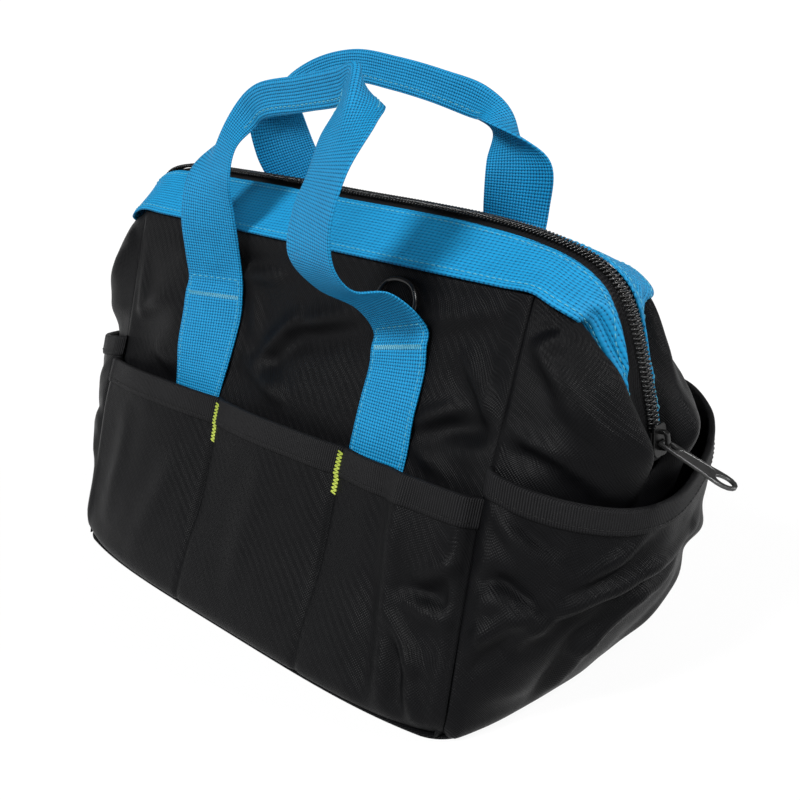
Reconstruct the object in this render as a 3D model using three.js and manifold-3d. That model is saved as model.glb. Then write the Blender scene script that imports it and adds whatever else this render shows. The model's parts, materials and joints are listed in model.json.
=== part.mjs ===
// A wide mouth tool bag: a tent-shaped cloth body on a flat base, three pockets along each side,
// a gaping pocket on each end, bright webbing bands along the zip, two webbing handles with a
// folded grip, and a D-ring behind one handle leg.
// Millimetres, +Z up, +X along the bag. The front faces -Y, and the origin is under the base.
import * as THREE from 'three';
import Module from 'manifold-3d';
import { mergeVertices } from 'three/addons/utils/BufferGeometryUtils.js';

// Driving dimensions.
const LENGTH = 330;
const DEPTH = 206;
const BASE_THICK = 2.5;
const CLOTH = 1.6;
const POCKET_CLOTH = 1.5;
const WEBBING = 1.6;
const BINDING = 1.0;
const GAP = 0.3;
const RIM_Z = 119;
const FOOT_Z = 3.4;
const BIND_HEIGHT = 14;
const END_RIM_ROW = 0.86;
const END_BIND_FROM = 0.91;
const DIVIDERS = [-41, 67];
const POCKET_GAPE = 9.2;
const POCKET_FULLNESS = 0.45;
const RIM_STAND_OFF = 3.9;
const SEAM_STAND_OFF = 0.9;
const STRAP_WIDTH = 39;
const STRAP_X = { left: -71.5, right: 84.5 };
const STRAP_FOOT_Z = 88;
const BACK_STRAP_SHIFT = 0;
const STRAP_SLANT = 5;
const FOLD_RADIUS = 1.6;
const CHAIN_WIDTH = 10;
const CHAIN_HEIGHT = 2.4;
const TAPE_THICK = 0.9;
const TAPE_GAP = 1.0;
const BAND_EDGE_Y = 6.9;
const BAND_SINK = 0.8;
const TAPE_UNDER_BAND = 0.2;
const SLIDER_AT = { x: 207.2, z: 146 };
const SLIDER_LEAN = -0.151;
const TAB_PIVOT = { out: 6.0, up: -1.2 };
const TAB_LENGTH = 41;
const TAB_THICK = 1.8;
const TAB_DROP = 0.3;
const RING_WIRE = 1.4;
const RING_AT = { x: 77, z: 192.5 };
const RING_WIDTH = 29;
const RING_HEIGHT = 20;
const RING_TAIL = 8;
const RING_LEAN = -0.29;
const LOOP_CLOTH = 0.9;
const FRONT_BOW = 12;
const END_BOW = 11;
const HANDLE_STEPS = 44;
const CHAIN_STEPS = 36;

// The long wall, from the floor to the strip under the band: depth and seam by height.
const WALL = [
  { z: 0, y: 103, seam: 165 },
  { z: 30, y: 95, seam: 163.5 },
  { z: 75, y: 80.5, seam: 160.5 },
  { z: 120, y: 65.5, seam: 157.5 },
  { z: 165, y: 51.5, seam: 158 },
  { z: 205, y: 40, seam: 159.5 },
  { z: 216, y: 36.2, seam: 160 },
  { z: 220, y: 29.5, seam: 160 },
];

// Soft hollows and swellings of the long walls above the pockets.
const DENTS = [
  { x: 8, z: 172, spreadX: 58, spreadZ: 34, depth: 6 },
  { x: -128, z: 165, spreadX: 26, spreadZ: 34, depth: -3 },
  { x: 134, z: 150, spreadX: 18, spreadZ: 26, depth: 3 },
];

// Half of an end panel, row by row from the floor: the seam height, how far the cloth swells
// beside the seam, the ridge that folds out beside the zip, and the inner edge, which lies on the
// middle line below the zip.
const END_ROWS = [
  { seam: 2.9, swell: 1, rx: 171.5, ry: 52, rz: 2.9, ix: 173, iy: 0, iz: 2.9 },
  { seam: 30, swell: 4, rx: 179, ry: 47, rz: 30, ix: 181, iy: 0, iz: 30 },
  { seam: 70, swell: 5, rx: 191, ry: 37, rz: 68, ix: 195, iy: 0, iz: 66 },
  { seam: 105, swell: 6, rx: 202, ry: 29, rz: 100, ix: 204, iy: 0, iz: 97 },
  { seam: 133, swell: 8, rx: 210.5, ry: 22, rz: 126, ix: 206, iy: 0, iz: 123.5 },
  { seam: 150, swell: 12, rx: 219, ry: 20, rz: 146, ix: 206.5, iy: 8.6, iz: 134 },
  { seam: 170, swell: 13, rx: 212.5, ry: 23, rz: 164, ix: 202.5, iy: 9.6, iz: 152 },
  { seam: 188, swell: 10, rx: 203, ry: 26, rz: 182, ix: 194, iy: 12, iz: 171 },
  { seam: 204, swell: 5, rx: 192.5, ry: 28.5, rz: 196, ix: 183.5, iy: 16, iz: 188 },
  { seam: 216.6, swell: 0, rx: 180.5, ry: 30.2, rz: 206.8, ix: 177.5, iy: 24, iz: 203.8 },
];
const SLIT_ROW = 4;
// The back half of the right end lies flatter: its ridge is drawn in and its flank swells less.
const BACK_HALF = { drawnIn: 6, swell: 0.4 };

// The mouth from the left end to the right: the zip line on the middle plane and the outer edge
// of the bands. The left end stands a little higher than the right.
const MOUTH = [
  { zx: -208.6, zz: 134, ox: -208.3, oy: 8, oz: 134 },
  { zx: -206, zz: 152, ox: -203.6, oy: 9.2, oz: 152 },
  { zx: -202.5, zz: 171, ox: -195.4, oy: 11.6, oz: 171.3 },
  { zx: -198, zz: 191, ox: -184.9, oy: 15.6, oz: 189 },
  { zx: -193, zz: 212, ox: -179.3, oy: 23.6, oz: 205 },
  { zx: -187, zz: 225, ox: -180.3, oy: 30.8, oz: 207.6 },
  { zx: -178, zz: 234, ox: -171, oy: 36, oz: 213 },
  { zx: -163, zz: 239, ox: -160, oy: 36.6, oz: 217 },
  { zx: -140, zz: 240.5, ox: -140, oy: 36.5, oz: 217 },
  { zx: -105, zz: 241, ox: -105, oy: 36.5, oz: 217 },
  { zx: -50, zz: 241, ox: -50, oy: 36.5, oz: 217 },
  { zx: 5, zz: 240, ox: 5, oy: 36.5, oz: 217 },
  { zx: 60, zz: 239.5, ox: 60, oy: 36.5, oz: 217 },
  { zx: 105, zz: 238, ox: 106, oy: 36.5, oz: 217 },
  { zx: 138, zz: 234.5, ox: 142, oy: 36.5, oz: 217 },
  { zx: 158, zz: 230, ox: 160, oy: 36.6, oz: 217 },
  { zx: 170, zz: 225.5, ox: 171, oy: 36, oz: 213 },
  { zx: 180, zz: 218.5, ox: 180.3, oy: 30.8, oz: 207.6 },
  { zx: 188, zz: 208, ox: 179.3, oy: 23.6, oz: 205 },
  { zx: 195.5, zz: 190, ox: 184.9, oy: 15.6, oz: 189 },
  { zx: 201.3, zz: 171, ox: 195.4, oy: 11.6, oz: 171.3 },
  { zx: 206, zz: 152, ox: 203.6, oy: 9.2, oz: 152 },
  { zx: 208.6, zz: 134, ox: 208.3, oy: 8, oz: 134 },
];

// Rim of an end pocket, round from the front seam to the back seam.
const END_RIM = [
  { x: 158.2, y: -64.5, z: 133.5 },
  { x: 176, y: -62, z: 129.5 },
  { x: 198, y: -49.5, z: 124 },
  { x: 214.5, y: -26, z: 118.5 },
  { x: 219, y: 2, z: 116.5 },
  { x: 215, y: 31, z: 120 },
  { x: 207.5, y: 57, z: 128 },
  { x: 196, y: 74, z: 137.5 },
  { x: 180, y: 79, z: 147 },
  { x: 166, y: 71, z: 152 },
  { x: 158.6, y: 59.5, z: 150 },
];
const END_POCKET_SWELL = 15;
const END_POCKET_SPREAD = 1.9;

// The free loop of each handle, from its left leg to its right leg: the crest line, the way the
// outer face looks, and how far the webbing is folded (0 flat, 1 folded in half).
const FRONT_LOOP = [
  { x: -71, y: -50, z: 200, nx: 0.35, ny: -1, nz: 0.1, fold: 0 },
  { x: -69.5, y: -53, z: 226, nx: 0.28, ny: -1, nz: 0, fold: 0 },
  { x: -67.5, y: -51, z: 250, nx: -0.05, ny: -1, nz: 0.15, fold: 0 },
  { x: -65, y: -44, z: 271.5, nx: -0.5, ny: -0.8, nz: 0.4, fold: 0.3 },
  { x: -54.5, y: -38, z: 290.2, nx: -0.6, ny: -0.45, nz: 0.7, fold: 0.75 },
  { x: -38, y: -37.5, z: 300.5, nx: -0.35, ny: 0, nz: 0.95, fold: 1 },
  { x: 2.5, y: -40, z: 307.2, nx: -0.15, ny: 0, nz: 1, fold: 1 },
  { x: 40, y: -46, z: 313.5, nx: -0.1, ny: 0, nz: 1, fold: 1 },
  { x: 56, y: -50, z: 316, nx: 0.45, ny: 0, nz: 0.9, fold: 0.9 },
  { x: 65, y: -60, z: 307.3, nx: 0.35, ny: -0.6, nz: 0.6, fold: 0.6 },
  { x: 72.4, y: -74.5, z: 288.7, nx: -0.05, ny: -0.95, nz: 0.3, fold: 0.1 },
  { x: 74.6, y: -88, z: 268.6, nx: -0.28, ny: -0.95, nz: 0.2, fold: 0 },
  { x: 70.5, y: -95, z: 246, nx: -0.25, ny: -0.95, nz: 0, fold: 0 },
  { x: 68.5, y: -94, z: 226, nx: -0.12, ny: -0.85, nz: -0.45, fold: 0 },
  { x: 71, y: -81, z: 210.5, nx: 0, ny: -0.55, nz: -0.85, fold: 0 },
  { x: 80, y: -63.6, z: 203, nx: 0.3, ny: -0.4, nz: -0.9, fold: 0 },
];
const BACK_LOOP = [
  { x: -90, y: 51, z: 205, nx: -0.15, ny: 1, nz: 0.1, fold: 0 },
  { x: -98, y: 44, z: 232, nx: -0.5, ny: 0.9, nz: 0.1, fold: 0 },
  { x: -105, y: 37, z: 256, nx: -0.7, ny: 0.75, nz: 0.2, fold: 0.05 },
  { x: -108, y: 35, z: 276, nx: -0.75, ny: 0.6, nz: 0.35, fold: 0.35 },
  { x: -102, y: 36, z: 294, nx: -0.65, ny: 0.2, nz: 0.7, fold: 0.85 },
  { x: -78, y: 38.5, z: 309, nx: -0.35, ny: 0.1, nz: 0.95, fold: 1 },
  { x: -40, y: 41, z: 317, nx: -0.1, ny: 0.2, nz: 1, fold: 1 },
  { x: -6, y: 44, z: 313.5, nx: 0.1, ny: 0.25, nz: 1, fold: 1 },
  { x: 26, y: 47, z: 307.5, nx: 0.2, ny: 0.25, nz: 1, fold: 1 },
  { x: 57, y: 49, z: 299.5, nx: 0.4, ny: 0.1, nz: 0.9, fold: 0.95 },
  { x: 75, y: 50, z: 286, nx: 0.6, ny: 0.55, nz: 0.55, fold: 0.55 },
  { x: 81, y: 50, z: 262, nx: -0.2, ny: 1, nz: 0.1, fold: 0.08 },
  { x: 79, y: 51, z: 236, nx: -0.35, ny: 1, nz: 0, fold: 0 },
  { x: 75, y: 51, z: 207, nx: 0, ny: 1, nz: 0.1, fold: 0 },
];

const material = (name, color, roughness, metalness = 0) =>
  new THREE.MeshStandardMaterial({ name, color, roughness, metalness });
const MATERIALS = {
  cloth: material('black_oxford_cloth', 0x26272b, 0.85),
  binding: material('black_ribbed_tape', 0x1c1d20, 0.8),
  webbing: material('blue_webbing', 0x1c86c8, 0.75),
  tape: material('black_zip_tape', 0x151619, 0.8),
  coil: material('black_nylon_coil', 0x121317, 0.35),
  slider: material('black_painted_zinc', 0x1a1b1e, 0.4, 0.6),
  tab: material('dark_grey_zinc', 0x4a4c50, 0.4, 0.7),
  wire: material('black_painted_steel', 0x17181a, 0.35, 0.7),
};

const wasm = await Module();
wasm.setup();

const V = (x, y, z) => new THREE.Vector3(x, y, z);
const along = (p, d, k) => p.clone().addScaledVector(d, k);
const steps = (n) => Array.from({ length: n + 1 }, (_, i) => i / n);
const smooth = (a, b, x) => THREE.MathUtils.smoothstep(x, a, b);
const fade = (a, b, x) => 1 - THREE.MathUtils.smoothstep(x, a, b);
const curve = (points) => new THREE.CatmullRomCurve3(points, false, 'centripetal');

// A closed body from points and triangles, with its faces turned outwards.
function body(points, triangles) {
  let volume = 0;
  for (const [a, b, c] of triangles) {
    volume += points[a].dot(points[b].clone().cross(points[c]));
  }
  const index = volume > 0 ? triangles.flat() : triangles.flatMap(([a, b, c]) => [a, c, b]);
  const geometry = new THREE.BufferGeometry();
  const flat = points.flatMap((p) => [p.x, p.y, p.z]);
  geometry.setAttribute('position', new THREE.Float32BufferAttribute(flat, 3));
  geometry.setIndex(index);
  geometry.computeVertexNormals();
  return geometry;
}

// An open surface from rows of points: each row runs left to right seen from outside.
function patch(rows) {
  const wide = rows[0].length;
  const quads = [];
  for (let i = 0; i + 1 < rows.length; i += 1) {
    for (let j = 0; j + 1 < wide; j += 1) {
      const a = i * wide + j;
      quads.push([a, a + 1, a + wide + 1, a + wide]);
    }
  }
  return { points: rows.flat(), quads };
}

// Surfaces joined into one: points at the same place become one point.
function weld(...surfaces) {
  const points = [];
  const quads = [];
  const seen = new Map();
  for (const surface of surfaces) {
    const place = surface.points.map((p) => {
      const key = p.toArray().map((c) => Math.round(c * 1000)).join();
      if (!seen.has(key)) {
        seen.set(key, points.push(p) - 1);
      }
      return seen.get(key);
    });
    quads.push(...surface.quads.map((quad) => quad.map((k) => place[k])));
  }
  return { points, quads };
}

// The same surface on the other side of the middle plane of one axis.
function mirror(surface, axis) {
  const points = surface.points.map((p) => p.clone().setComponent(axis, -p.getComponent(axis)));
  return { points, quads: surface.quads.map((quad) => [...quad].reverse()) };
}

function normals(surface) {
  const sums = surface.points.map(() => V(0, 0, 0));
  for (const quad of surface.quads) {
    const [a, b, c, d] = quad.map((k) => surface.points[k]);
    const n = c.clone().sub(a).cross(d.clone().sub(b));
    quad.forEach((k) => sums[k].add(n));
  }
  return sums.map((n) => n.normalize());
}

// A wall of cloth: the surface moved out and in along its normals, and closed at its edges.
// tuck gives the inner points near a seam an extra shift, which mitres the corner.
function sheet(surface, out, inner, tuck = () => V(0, 0, 0)) {
  const n = normals(surface);
  const count = surface.points.length;
  const points = surface.points.map((p, k) => along(p, n[k], out));
  surface.points.forEach((p, k) => points.push(along(p, n[k], inner).add(tuck(p))));
  const triangles = [];
  const edges = new Map();
  for (const quad of surface.quads) {
    const [a, b, c, d] = quad;
    triangles.push([a, b, c], [a, c, d]);
    triangles.push([a + count, c + count, b + count], [a + count, d + count, c + count]);
    quad.forEach((k, i) => edges.set(`${k},${quad[(i + 1) % 4]}`, [k, quad[(i + 1) % 4]]));
  }
  for (const [a, b] of edges.values()) {
    if (!edges.has(`${b},${a}`)) {
      triangles.push([b, a, a + count], [b, a + count, b + count]);
    }
  }
  return body(points, triangles);
}

// A body through a row of like sections, each a loop of points. caps lists the triangles of an
// end section, and a closed body joins its last section to its first.
function loft(sections, caps, closed = false) {
  const size = sections[0].length;
  const points = sections.flat();
  const triangles = [];
  const last = closed ? sections.length : sections.length - 1;
  for (let i = 0; i < last; i += 1) {
    for (let j = 0; j < size; j += 1) {
      const a = i * size + j;
      const b = i * size + ((j + 1) % size);
      const c = ((i + 1) % sections.length) * size + j;
      const d = ((i + 1) % sections.length) * size + ((j + 1) % size);
      triangles.push([a, b, d], [a, d, c]);
    }
  }
  if (!closed) {
    const end = (sections.length - 1) * size;
    for (const [a, b, c] of caps) {
      triangles.push([a, c, b], [end + a, end + b, end + c]);
    }
  }
  return body(points, triangles);
}

// The same body on the other side of the middle plane of one axis.
function reflected(geometry, axis) {
  const copy = geometry.clone();
  const scale = V(1, 1, 1).setComponent(axis, -1);
  copy.scale(scale.x, scale.y, scale.z);
  const index = copy.index.array;
  for (let k = 0; k < index.length; k += 3) {
    [index[k + 1], index[k + 2]] = [index[k + 2], index[k + 1]];
  }
  copy.computeVertexNormals();
  return copy;
}

const fan = (size) => Array.from({ length: size - 2 }, (_, k) => [0, k + 1, k + 2]);

function mesh(name, geometry, look) {
  const piece = new THREE.Mesh(geometry, look);
  piece.name = name;
  return piece;
}

// Solids for joining and cutting.
function toSolid(geometry) {
  const bare = geometry.clone();
  bare.deleteAttribute('normal');
  bare.deleteAttribute('uv');
  const merged = mergeVertices(bare, 1e-4);
  return new wasm.Manifold(new wasm.Mesh({
    numProp: 3,
    vertProperties: new Float32Array(merged.attributes.position.array),
    triVerts: new Uint32Array(merged.index.array),
  }));
}

function toGeometry(solid) {
  const data = solid.getMesh();
  const geometry = new THREE.BufferGeometry();
  geometry.setAttribute('position', new THREE.Float32BufferAttribute(data.vertProperties, 3));
  geometry.setIndex(new THREE.Uint32BufferAttribute(data.triVerts, 1));
  geometry.computeVertexNormals();
  return geometry;
}

function block(x, y, z) {
  const size = [x[1] - x[0], y[1] - y[0], z[1] - z[0]];
  const box = new THREE.BoxGeometry(...size);
  return toSolid(box.translate((x[0] + x[1]) / 2, (y[0] + y[1]) / 2, (z[0] + z[1]) / 2));
}

// The long wall: its depth and its seam at a height, and a point of the front wall.
const wallLine = curve(WALL.map((row) => V(row.seam, row.y, row.z)));
const wallTable = wallLine.getPoints(160);
function wallAt(z) {
  const k = THREE.MathUtils.clamp(wallTable.findIndex((p) => p.z >= z), 1, wallTable.length - 1);
  const low = wallTable[k - 1];
  const high = wallTable[k];
  return low.clone().lerp(high, (z - low.z) / (high.z - low.z));
}
function dent(x, z) {
  let sum = 0;
  for (const d of DENTS) {
    const far = ((x - d.x) / d.spreadX) ** 2 + ((z - d.z) / d.spreadZ) ** 2;
    sum += d.depth * Math.exp(-far);
  }
  return sum * smooth(RIM_Z - 20, RIM_Z + 25, z) * fade(200, 222, z);
}
// The foot of the bag bows out between its corners.
const bow = (part) => 1 - Math.min(1, Math.abs(part)) ** 4;
const footY = (x) => DEPTH / 2 + FRONT_BOW * bow(x / (LENGTH / 2));
const footX = (y) => LENGTH / 2 + END_BOW * bow(y / (DEPTH / 2));
function wallDepth(x, z) {
  const { x: seam, y } = wallAt(z);
  return y + FRONT_BOW * bow(x / seam) * fade(0, 105, z);
}
const wallPoint = (x, z) => V(x, -(wallDepth(x, z) - dent(x, z)), z);
const WALL_OUT = V(0, -Math.cos(0.3), Math.sin(0.3));

// Front and back walls.
const WALL_ROWS = [FOOT_Z, 30, 75, RIM_Z - BIND_HEIGHT, 125, 145, 165, 185, 203, 213, 217, 220];
const BAND_LINE_Z = 215;
const TOP_STRIP = { from: 118, to: 158, least: 0.05 };
const wallRows = WALL_ROWS.map((z) => {
  const half = wallAt(z).x - GAP / 2;
  return steps(14).map((t) => {
    const x = (2 * t - 1) * half;
    const { from, to, least } = TOP_STRIP;
    const part = THREE.MathUtils.lerp(least, 1, fade(from, to, Math.abs(x)));
    return wallPoint(x, Math.min(z, BAND_LINE_Z) + part * Math.max(0, z - BAND_LINE_Z));
  });
});
const wallSurface = patch(wallRows);
const wallTuck = (p) => (Math.abs(p.x) > wallAt(p.z).x - 0.5
  ? V(-Math.sign(p.x) * CLOTH, 0, 0) : V(0, 0, 0));
const frontPanel = sheet(wallSurface, 0, -CLOTH, wallTuck);

// End panels: two halves that meet on the middle line below the zip.
const endSeam = curve(END_ROWS.map((row) => {
  const seam = wallAt(row.seam);
  return V(seam.x, -(seam.y - GAP / 2), row.seam);
}));
const endRidge = curve(END_ROWS.map((row) => V(row.rx, -row.ry, row.rz)));
const endInner = curve(END_ROWS.map((row) => V(row.ix, -row.iy, row.iz)));
const END_STATIONS = steps(END_ROWS.length - 1).flatMap((t, k) => {
  const half = 0.5 / (END_ROWS.length - 1);
  return k > 3 && k < END_ROWS.length - 1 ? [t, t + half] : [t];
});
const endSwell = curve(END_ROWS.map((row) => V(row.swell, 0, row.seam)));
const SLIT_STATION = SLIT_ROW / (END_ROWS.length - 1);
const endHalf = (drawnIn, swell) => patch(END_STATIONS.map((t) => {
  const flatter = smooth(SLIT_STATION + 0.1, SLIT_STATION + 0.3, t);
  const inner = endInner.getPoint(t);
  if (t <= SLIT_STATION + 1e-6) {
    inner.y = 0;
  }
  const seam = endSeam.getPoint(t);
  const ridge = endRidge.getPoint(t);
  ridge.x -= drawnIn * flatter * fade(0.8, 1, t);
  const side = V(seam.y - ridge.y, ridge.x - seam.x, 0).normalize().negate();
  const push = endSwell.getPoint(t).x * THREE.MathUtils.lerp(1, swell, flatter);
  const flank = along(seam.clone().lerp(ridge, 0.5), side.negate(), -push);
  const across = curve([seam, flank, ridge, inner]);
  return steps(7).map((u) => across.getPoint(u));
}));
const endTuck = (p) => (Math.abs(p.y) > wallAt(p.z).y - 0.6
  ? V(0, -Math.sign(p.y) * CLOTH, 0) : V(0, 0, 0));
const endPanel = (back) => sheet(weld(endHalf(0, 1), mirror(back, 1)), 0, -CLOTH, endTuck);
const endPanelRight = endPanel(endHalf(BACK_HALF.drawnIn, BACK_HALF.swell));
const endPanelLeft = reflected(endPanel(endHalf(0, 1)), 0);

// Base: a flat plate whose sides bow out as the walls do.
function basePanel() {
  const inset = 0.6;
  const x = LENGTH / 2 - 4;
  const y = DEPTH / 2 - 4;
  const outline = new THREE.Shape([
    ...steps(10).map((t) => [x * (2 * t - 1), -footY(x * (2 * t - 1)) + inset]),
    ...steps(8).map((t) => [footX(y * (2 * t - 1)) - inset, y * (2 * t - 1)]),
    ...steps(10).map((t) => [x * (1 - 2 * t), footY(x * (1 - 2 * t)) - inset]),
    ...steps(8).map((t) => [-footX(y * (1 - 2 * t)) + inset, y * (1 - 2 * t)]),
  ].map(([u, v]) => new THREE.Vector2(u, v)));
  return new THREE.ExtrudeGeometry(outline, { depth: BASE_THICK, bevelEnabled: false });
}

// Long pockets: sewn down at the dividers and swelling between them towards the rim.
function pocketStandOff(x, z) {
  const half = wallAt(z).x;
  const stops = [-half, ...DIVIDERS, half];
  const k = Math.max(1, stops.findIndex((stop) => stop >= x));
  const f = (x - stops[k - 1]) / (stops[k] - stops[k - 1]);
  const full = Math.max(0, Math.sin(Math.PI * f)) ** POCKET_FULLNESS;
  const swell = POCKET_GAPE * full * smooth(0, RIM_Z, z);
  const rise = smooth(50, RIM_Z - BIND_HEIGHT, z);
  return THREE.MathUtils.lerp(SEAM_STAND_OFF, RIM_STAND_OFF, rise) + swell;
}
const POCKET_ROWS = [FOOT_Z, 30, 75, RIM_Z - BIND_HEIGHT, RIM_Z];
const POCKET_COLUMNS = [-1, ...DIVIDERS, 1].flatMap((stop, k, all) => {
  const from = k === 0 ? null : all[k - 1];
  return from === null ? [] : steps(8).slice(k > 1 ? 1 : 0).map((f) => ({ k, f }));
});
const pocketRows = POCKET_ROWS.map((z) => {
  const half = wallAt(z).x - 1.8;
  const stops = [-half, ...DIVIDERS, half];
  return POCKET_COLUMNS.map(({ k, f }) => {
    const x = THREE.MathUtils.lerp(stops[k - 1], stops[k], f);
    return along(V(x, -wallDepth(x, z), z), WALL_OUT, pocketStandOff(x, z));
  });
});
const pocketSurface = patch(pocketRows);

// Tape folded over a rim: its section straddles the strip between the last two rows of a pocket's
// surface, from a share of the way up.
const BINDING_CAPS = [[0, 1, 2], [0, 2, 7], [7, 2, 3], [7, 3, 6], [3, 4, 5], [3, 5, 6]];
function binding(surface, wide, from = 0) {
  const n = normals(surface);
  const top = surface.points.length - wide;
  const slack = GAP + 0.1;
  const inside = -slack;
  const outside = POCKET_CLOTH + slack;
  const sections = Array.from({ length: wide }, (_, j) => {
    const high = surface.points[top + j];
    const low = surface.points[top - wide + j].clone().lerp(high, from);
    const nh = n[top + j];
    const nl = n[top - wide + j].clone().lerp(nh, from).normalize();
    const up = high.clone().sub(low).normalize();
    const over = along(high, up, GAP);
    const crown = along(high, up, GAP + BINDING);
    return [
      along(low, nl, inside - BINDING), along(low, nl, inside),
      along(over, nh, inside), along(over, nh, outside),
      along(low, nl, outside), along(low, nl, outside + BINDING),
      along(crown, nh, outside + BINDING), along(crown, nh, inside - BINDING),
    ];
  });
  return loft(sections, BINDING_CAPS);
}
const pocketWide = pocketRows[0].length;
const frontPocket = sheet(pocketSurface, POCKET_CLOTH, 0);
const frontBinding = binding(pocketSurface, pocketWide);

// End pockets: from the straight foot of the end to the gaping rim.
const endRim = curve(END_RIM.map((row) => V(row.x, row.y, row.z)));
const END_POCKET_COLUMNS = steps(20);
function endPocketRows() {
  const feet = END_POCKET_COLUMNS.map((u) => {
    const y = (2 * u - 1) * (DEPTH / 2 - 2.5);
    return V(footX(y) + 1.2, y, FOOT_Z);
  });
  const rims = END_POCKET_COLUMNS.map((u) => endRim.getPoint(u));
  const fall = steps(5).map((t) => t * END_RIM_ROW).concat(1);
  return fall.map((t) => feet.map((foot, j) => {
    const p = foot.clone().lerp(rims[j], t);
    const u = END_POCKET_COLUMNS[j];
    const swell = END_POCKET_SWELL * Math.sin(Math.PI * t) * Math.sin(Math.PI * u) ** 0.6;
    const way = (u - 0.5) * END_POCKET_SPREAD;
    return p.add(V(swell * Math.cos(way), swell * Math.sin(way), 0));
  }));
}
const endPocketSurface = patch(endPocketRows());
const endPocketWide = END_POCKET_COLUMNS.length;
const endPocket = sheet(endPocketSurface, POCKET_CLOTH, 0);
const endBindShare = (END_BIND_FROM - END_RIM_ROW) / (1 - END_RIM_ROW);
const endBinding = binding(endPocketSurface, endPocketWide, endBindShare);

// The mouth: bands, tapes and chain all follow one line from the left end over to the right.
const zipLine = curve(MOUTH.map((row) => V(row.zx, 0, row.zz)));
const outerLine = curve(MOUTH.map((row) => V(row.ox, -row.oy, row.oz)));
const MOUTH_STATIONS = steps((MOUTH.length - 1) * 2);
const zipEdge = (t, y) => zipLine.getPoint(t).setY(-y);
const bandSurface = patch([0, 0.5, 1].map((w) => MOUTH_STATIONS.map((t) => {
  const inner = zipEdge(t, BAND_EDGE_Y).add(V(0, 0, -BAND_SINK));
  return outerLine.getPoint(t).lerp(inner, w);
})));
const BAND_IN = GAP + 0.1;
const bandFront = sheet(bandSurface, BAND_IN + WEBBING, BAND_IN);
const tapeSurface = patch([0, 1].map((w) => MOUTH_STATIONS.map((t) => {
  const inner = zipEdge(t, BAND_EDGE_Y).add(V(0, 0, -BAND_SINK));
  const under = inner.lerp(outerLine.getPoint(t), TAPE_UNDER_BAND);
  return under.lerp(zipEdge(t, TAPE_GAP), w);
})));
const tapeFront = sheet(tapeSurface, 0, -TAPE_THICK);

// The chain is a low rounded strip on the tapes, which ends inside the slider.
function zipperChain() {
  const low = 0.02;
  const high = 0.968;
  const half = CHAIN_WIDTH / 2;
  const profile = [[-half, 0.5], [-half * 0.55, 0], [half * 0.55, 0], [half, 0.5],
    [half * 0.6, 1], [-half * 0.6, 1]];
  const sections = steps(CHAIN_STEPS).map((s) => {
    const t = THREE.MathUtils.lerp(low, high, s);
    const p = zipLine.getPoint(t);
    const tangent = zipLine.getTangent(t);
    const out = V(-tangent.z, 0, tangent.x);
    return profile.map(([y, h]) => along(p, out, GAP + h * CHAIN_HEIGHT).setY(y));
  });
  return loft(sections, fan(profile.length));
}

// The slider in its own frame: X out of the bag, Z up along the zip.
function zipSlider() {
  const wide = BAND_EDGE_Y - 0.4;
  const top = GAP + CHAIN_HEIGHT + GAP;
  const long = 8;
  const plate = new THREE.Shape();
  plate.moveTo(-wide, -long + 3);
  plate.lineTo(-wide + 2.5, -long);
  plate.lineTo(wide - 2.5, -long);
  plate.lineTo(wide, -long + 3);
  plate.lineTo(wide - 1.2, long - 1.5);
  plate.lineTo(wide - 2.6, long);
  plate.lineTo(-wide + 2.6, long);
  plate.lineTo(-wide + 1.2, long - 1.5);
  const plateAt = (x, thick) => {
    const slab = new THREE.ExtrudeGeometry(plate, { depth: thick, bevelEnabled: false });
    slab.rotateX(Math.PI / 2);
    slab.rotateZ(Math.PI / 2);
    return toSolid(slab.translate(x, 0, 0));
  };
  let solid = plateAt(top, 1.7);
  solid = solid.add(block([-3.7, -2.2], [-4.2, 4.2], [-long, long]));
  solid = solid.add(block([-2.3, top + 0.1], [-0.6, 0.6], [-long, -5.2]));
  for (const side of [-1, 1]) {
    const y = [side * (CHAIN_WIDTH / 2 + GAP), side * (wide - 0.1)].sort((a, b) => a - b);
    solid = solid.add(block([0.7, top + 0.1], y, [-long + 3, long - 3]));
  }
  const roof = top + 1.7;
  solid = solid.add(block([roof - 0.1, roof + 4.6], [-1.5, 1.5], [-5, -3.1]));
  solid = solid.add(block([roof - 0.1, roof + 4.6], [-1.5, 1.5], [3.1, 5]));
  solid = solid.add(block([roof + 2.7, roof + 4.6], [-1.5, 1.5], [-5, 5]));
  return toGeometry(solid);
}

// The tab in its own frame: X from the pivot to the tip, Y across, with a window for the bail.
function pullTab() {
  const tip = TAB_LENGTH;
  const bar = 0.8;
  const outline = new THREE.Shape();
  outline.moveTo(-bar, -3.4);
  outline.lineTo(tip * 0.6, -4.4);
  outline.quadraticCurveTo(tip * 0.8, -5.6, tip * 0.92, -4.4);
  outline.quadraticCurveTo(tip, -3, tip, 0);
  outline.quadraticCurveTo(tip, 3, tip * 0.92, 4.4);
  outline.quadraticCurveTo(tip * 0.8, 5.6, tip * 0.6, 4.4);
  outline.lineTo(-bar, 3.4);
  const window = new THREE.Path();
  window.moveTo(bar, -2);
  window.lineTo(bar, 2);
  window.lineTo(7.8, 2);
  window.lineTo(7.8, -2);
  const eye = new THREE.Path();
  eye.absellipse(tip * 0.84, 0, 4.6, 2.9, 0, Math.PI * 2, true);
  outline.holes.push(window, eye);
  const options = { depth: TAB_THICK, bevelEnabled: false, curveSegments: 5 };
  return new THREE.ExtrudeGeometry(outline, options).translate(0, 0, -TAB_THICK / 2);
}

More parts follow.
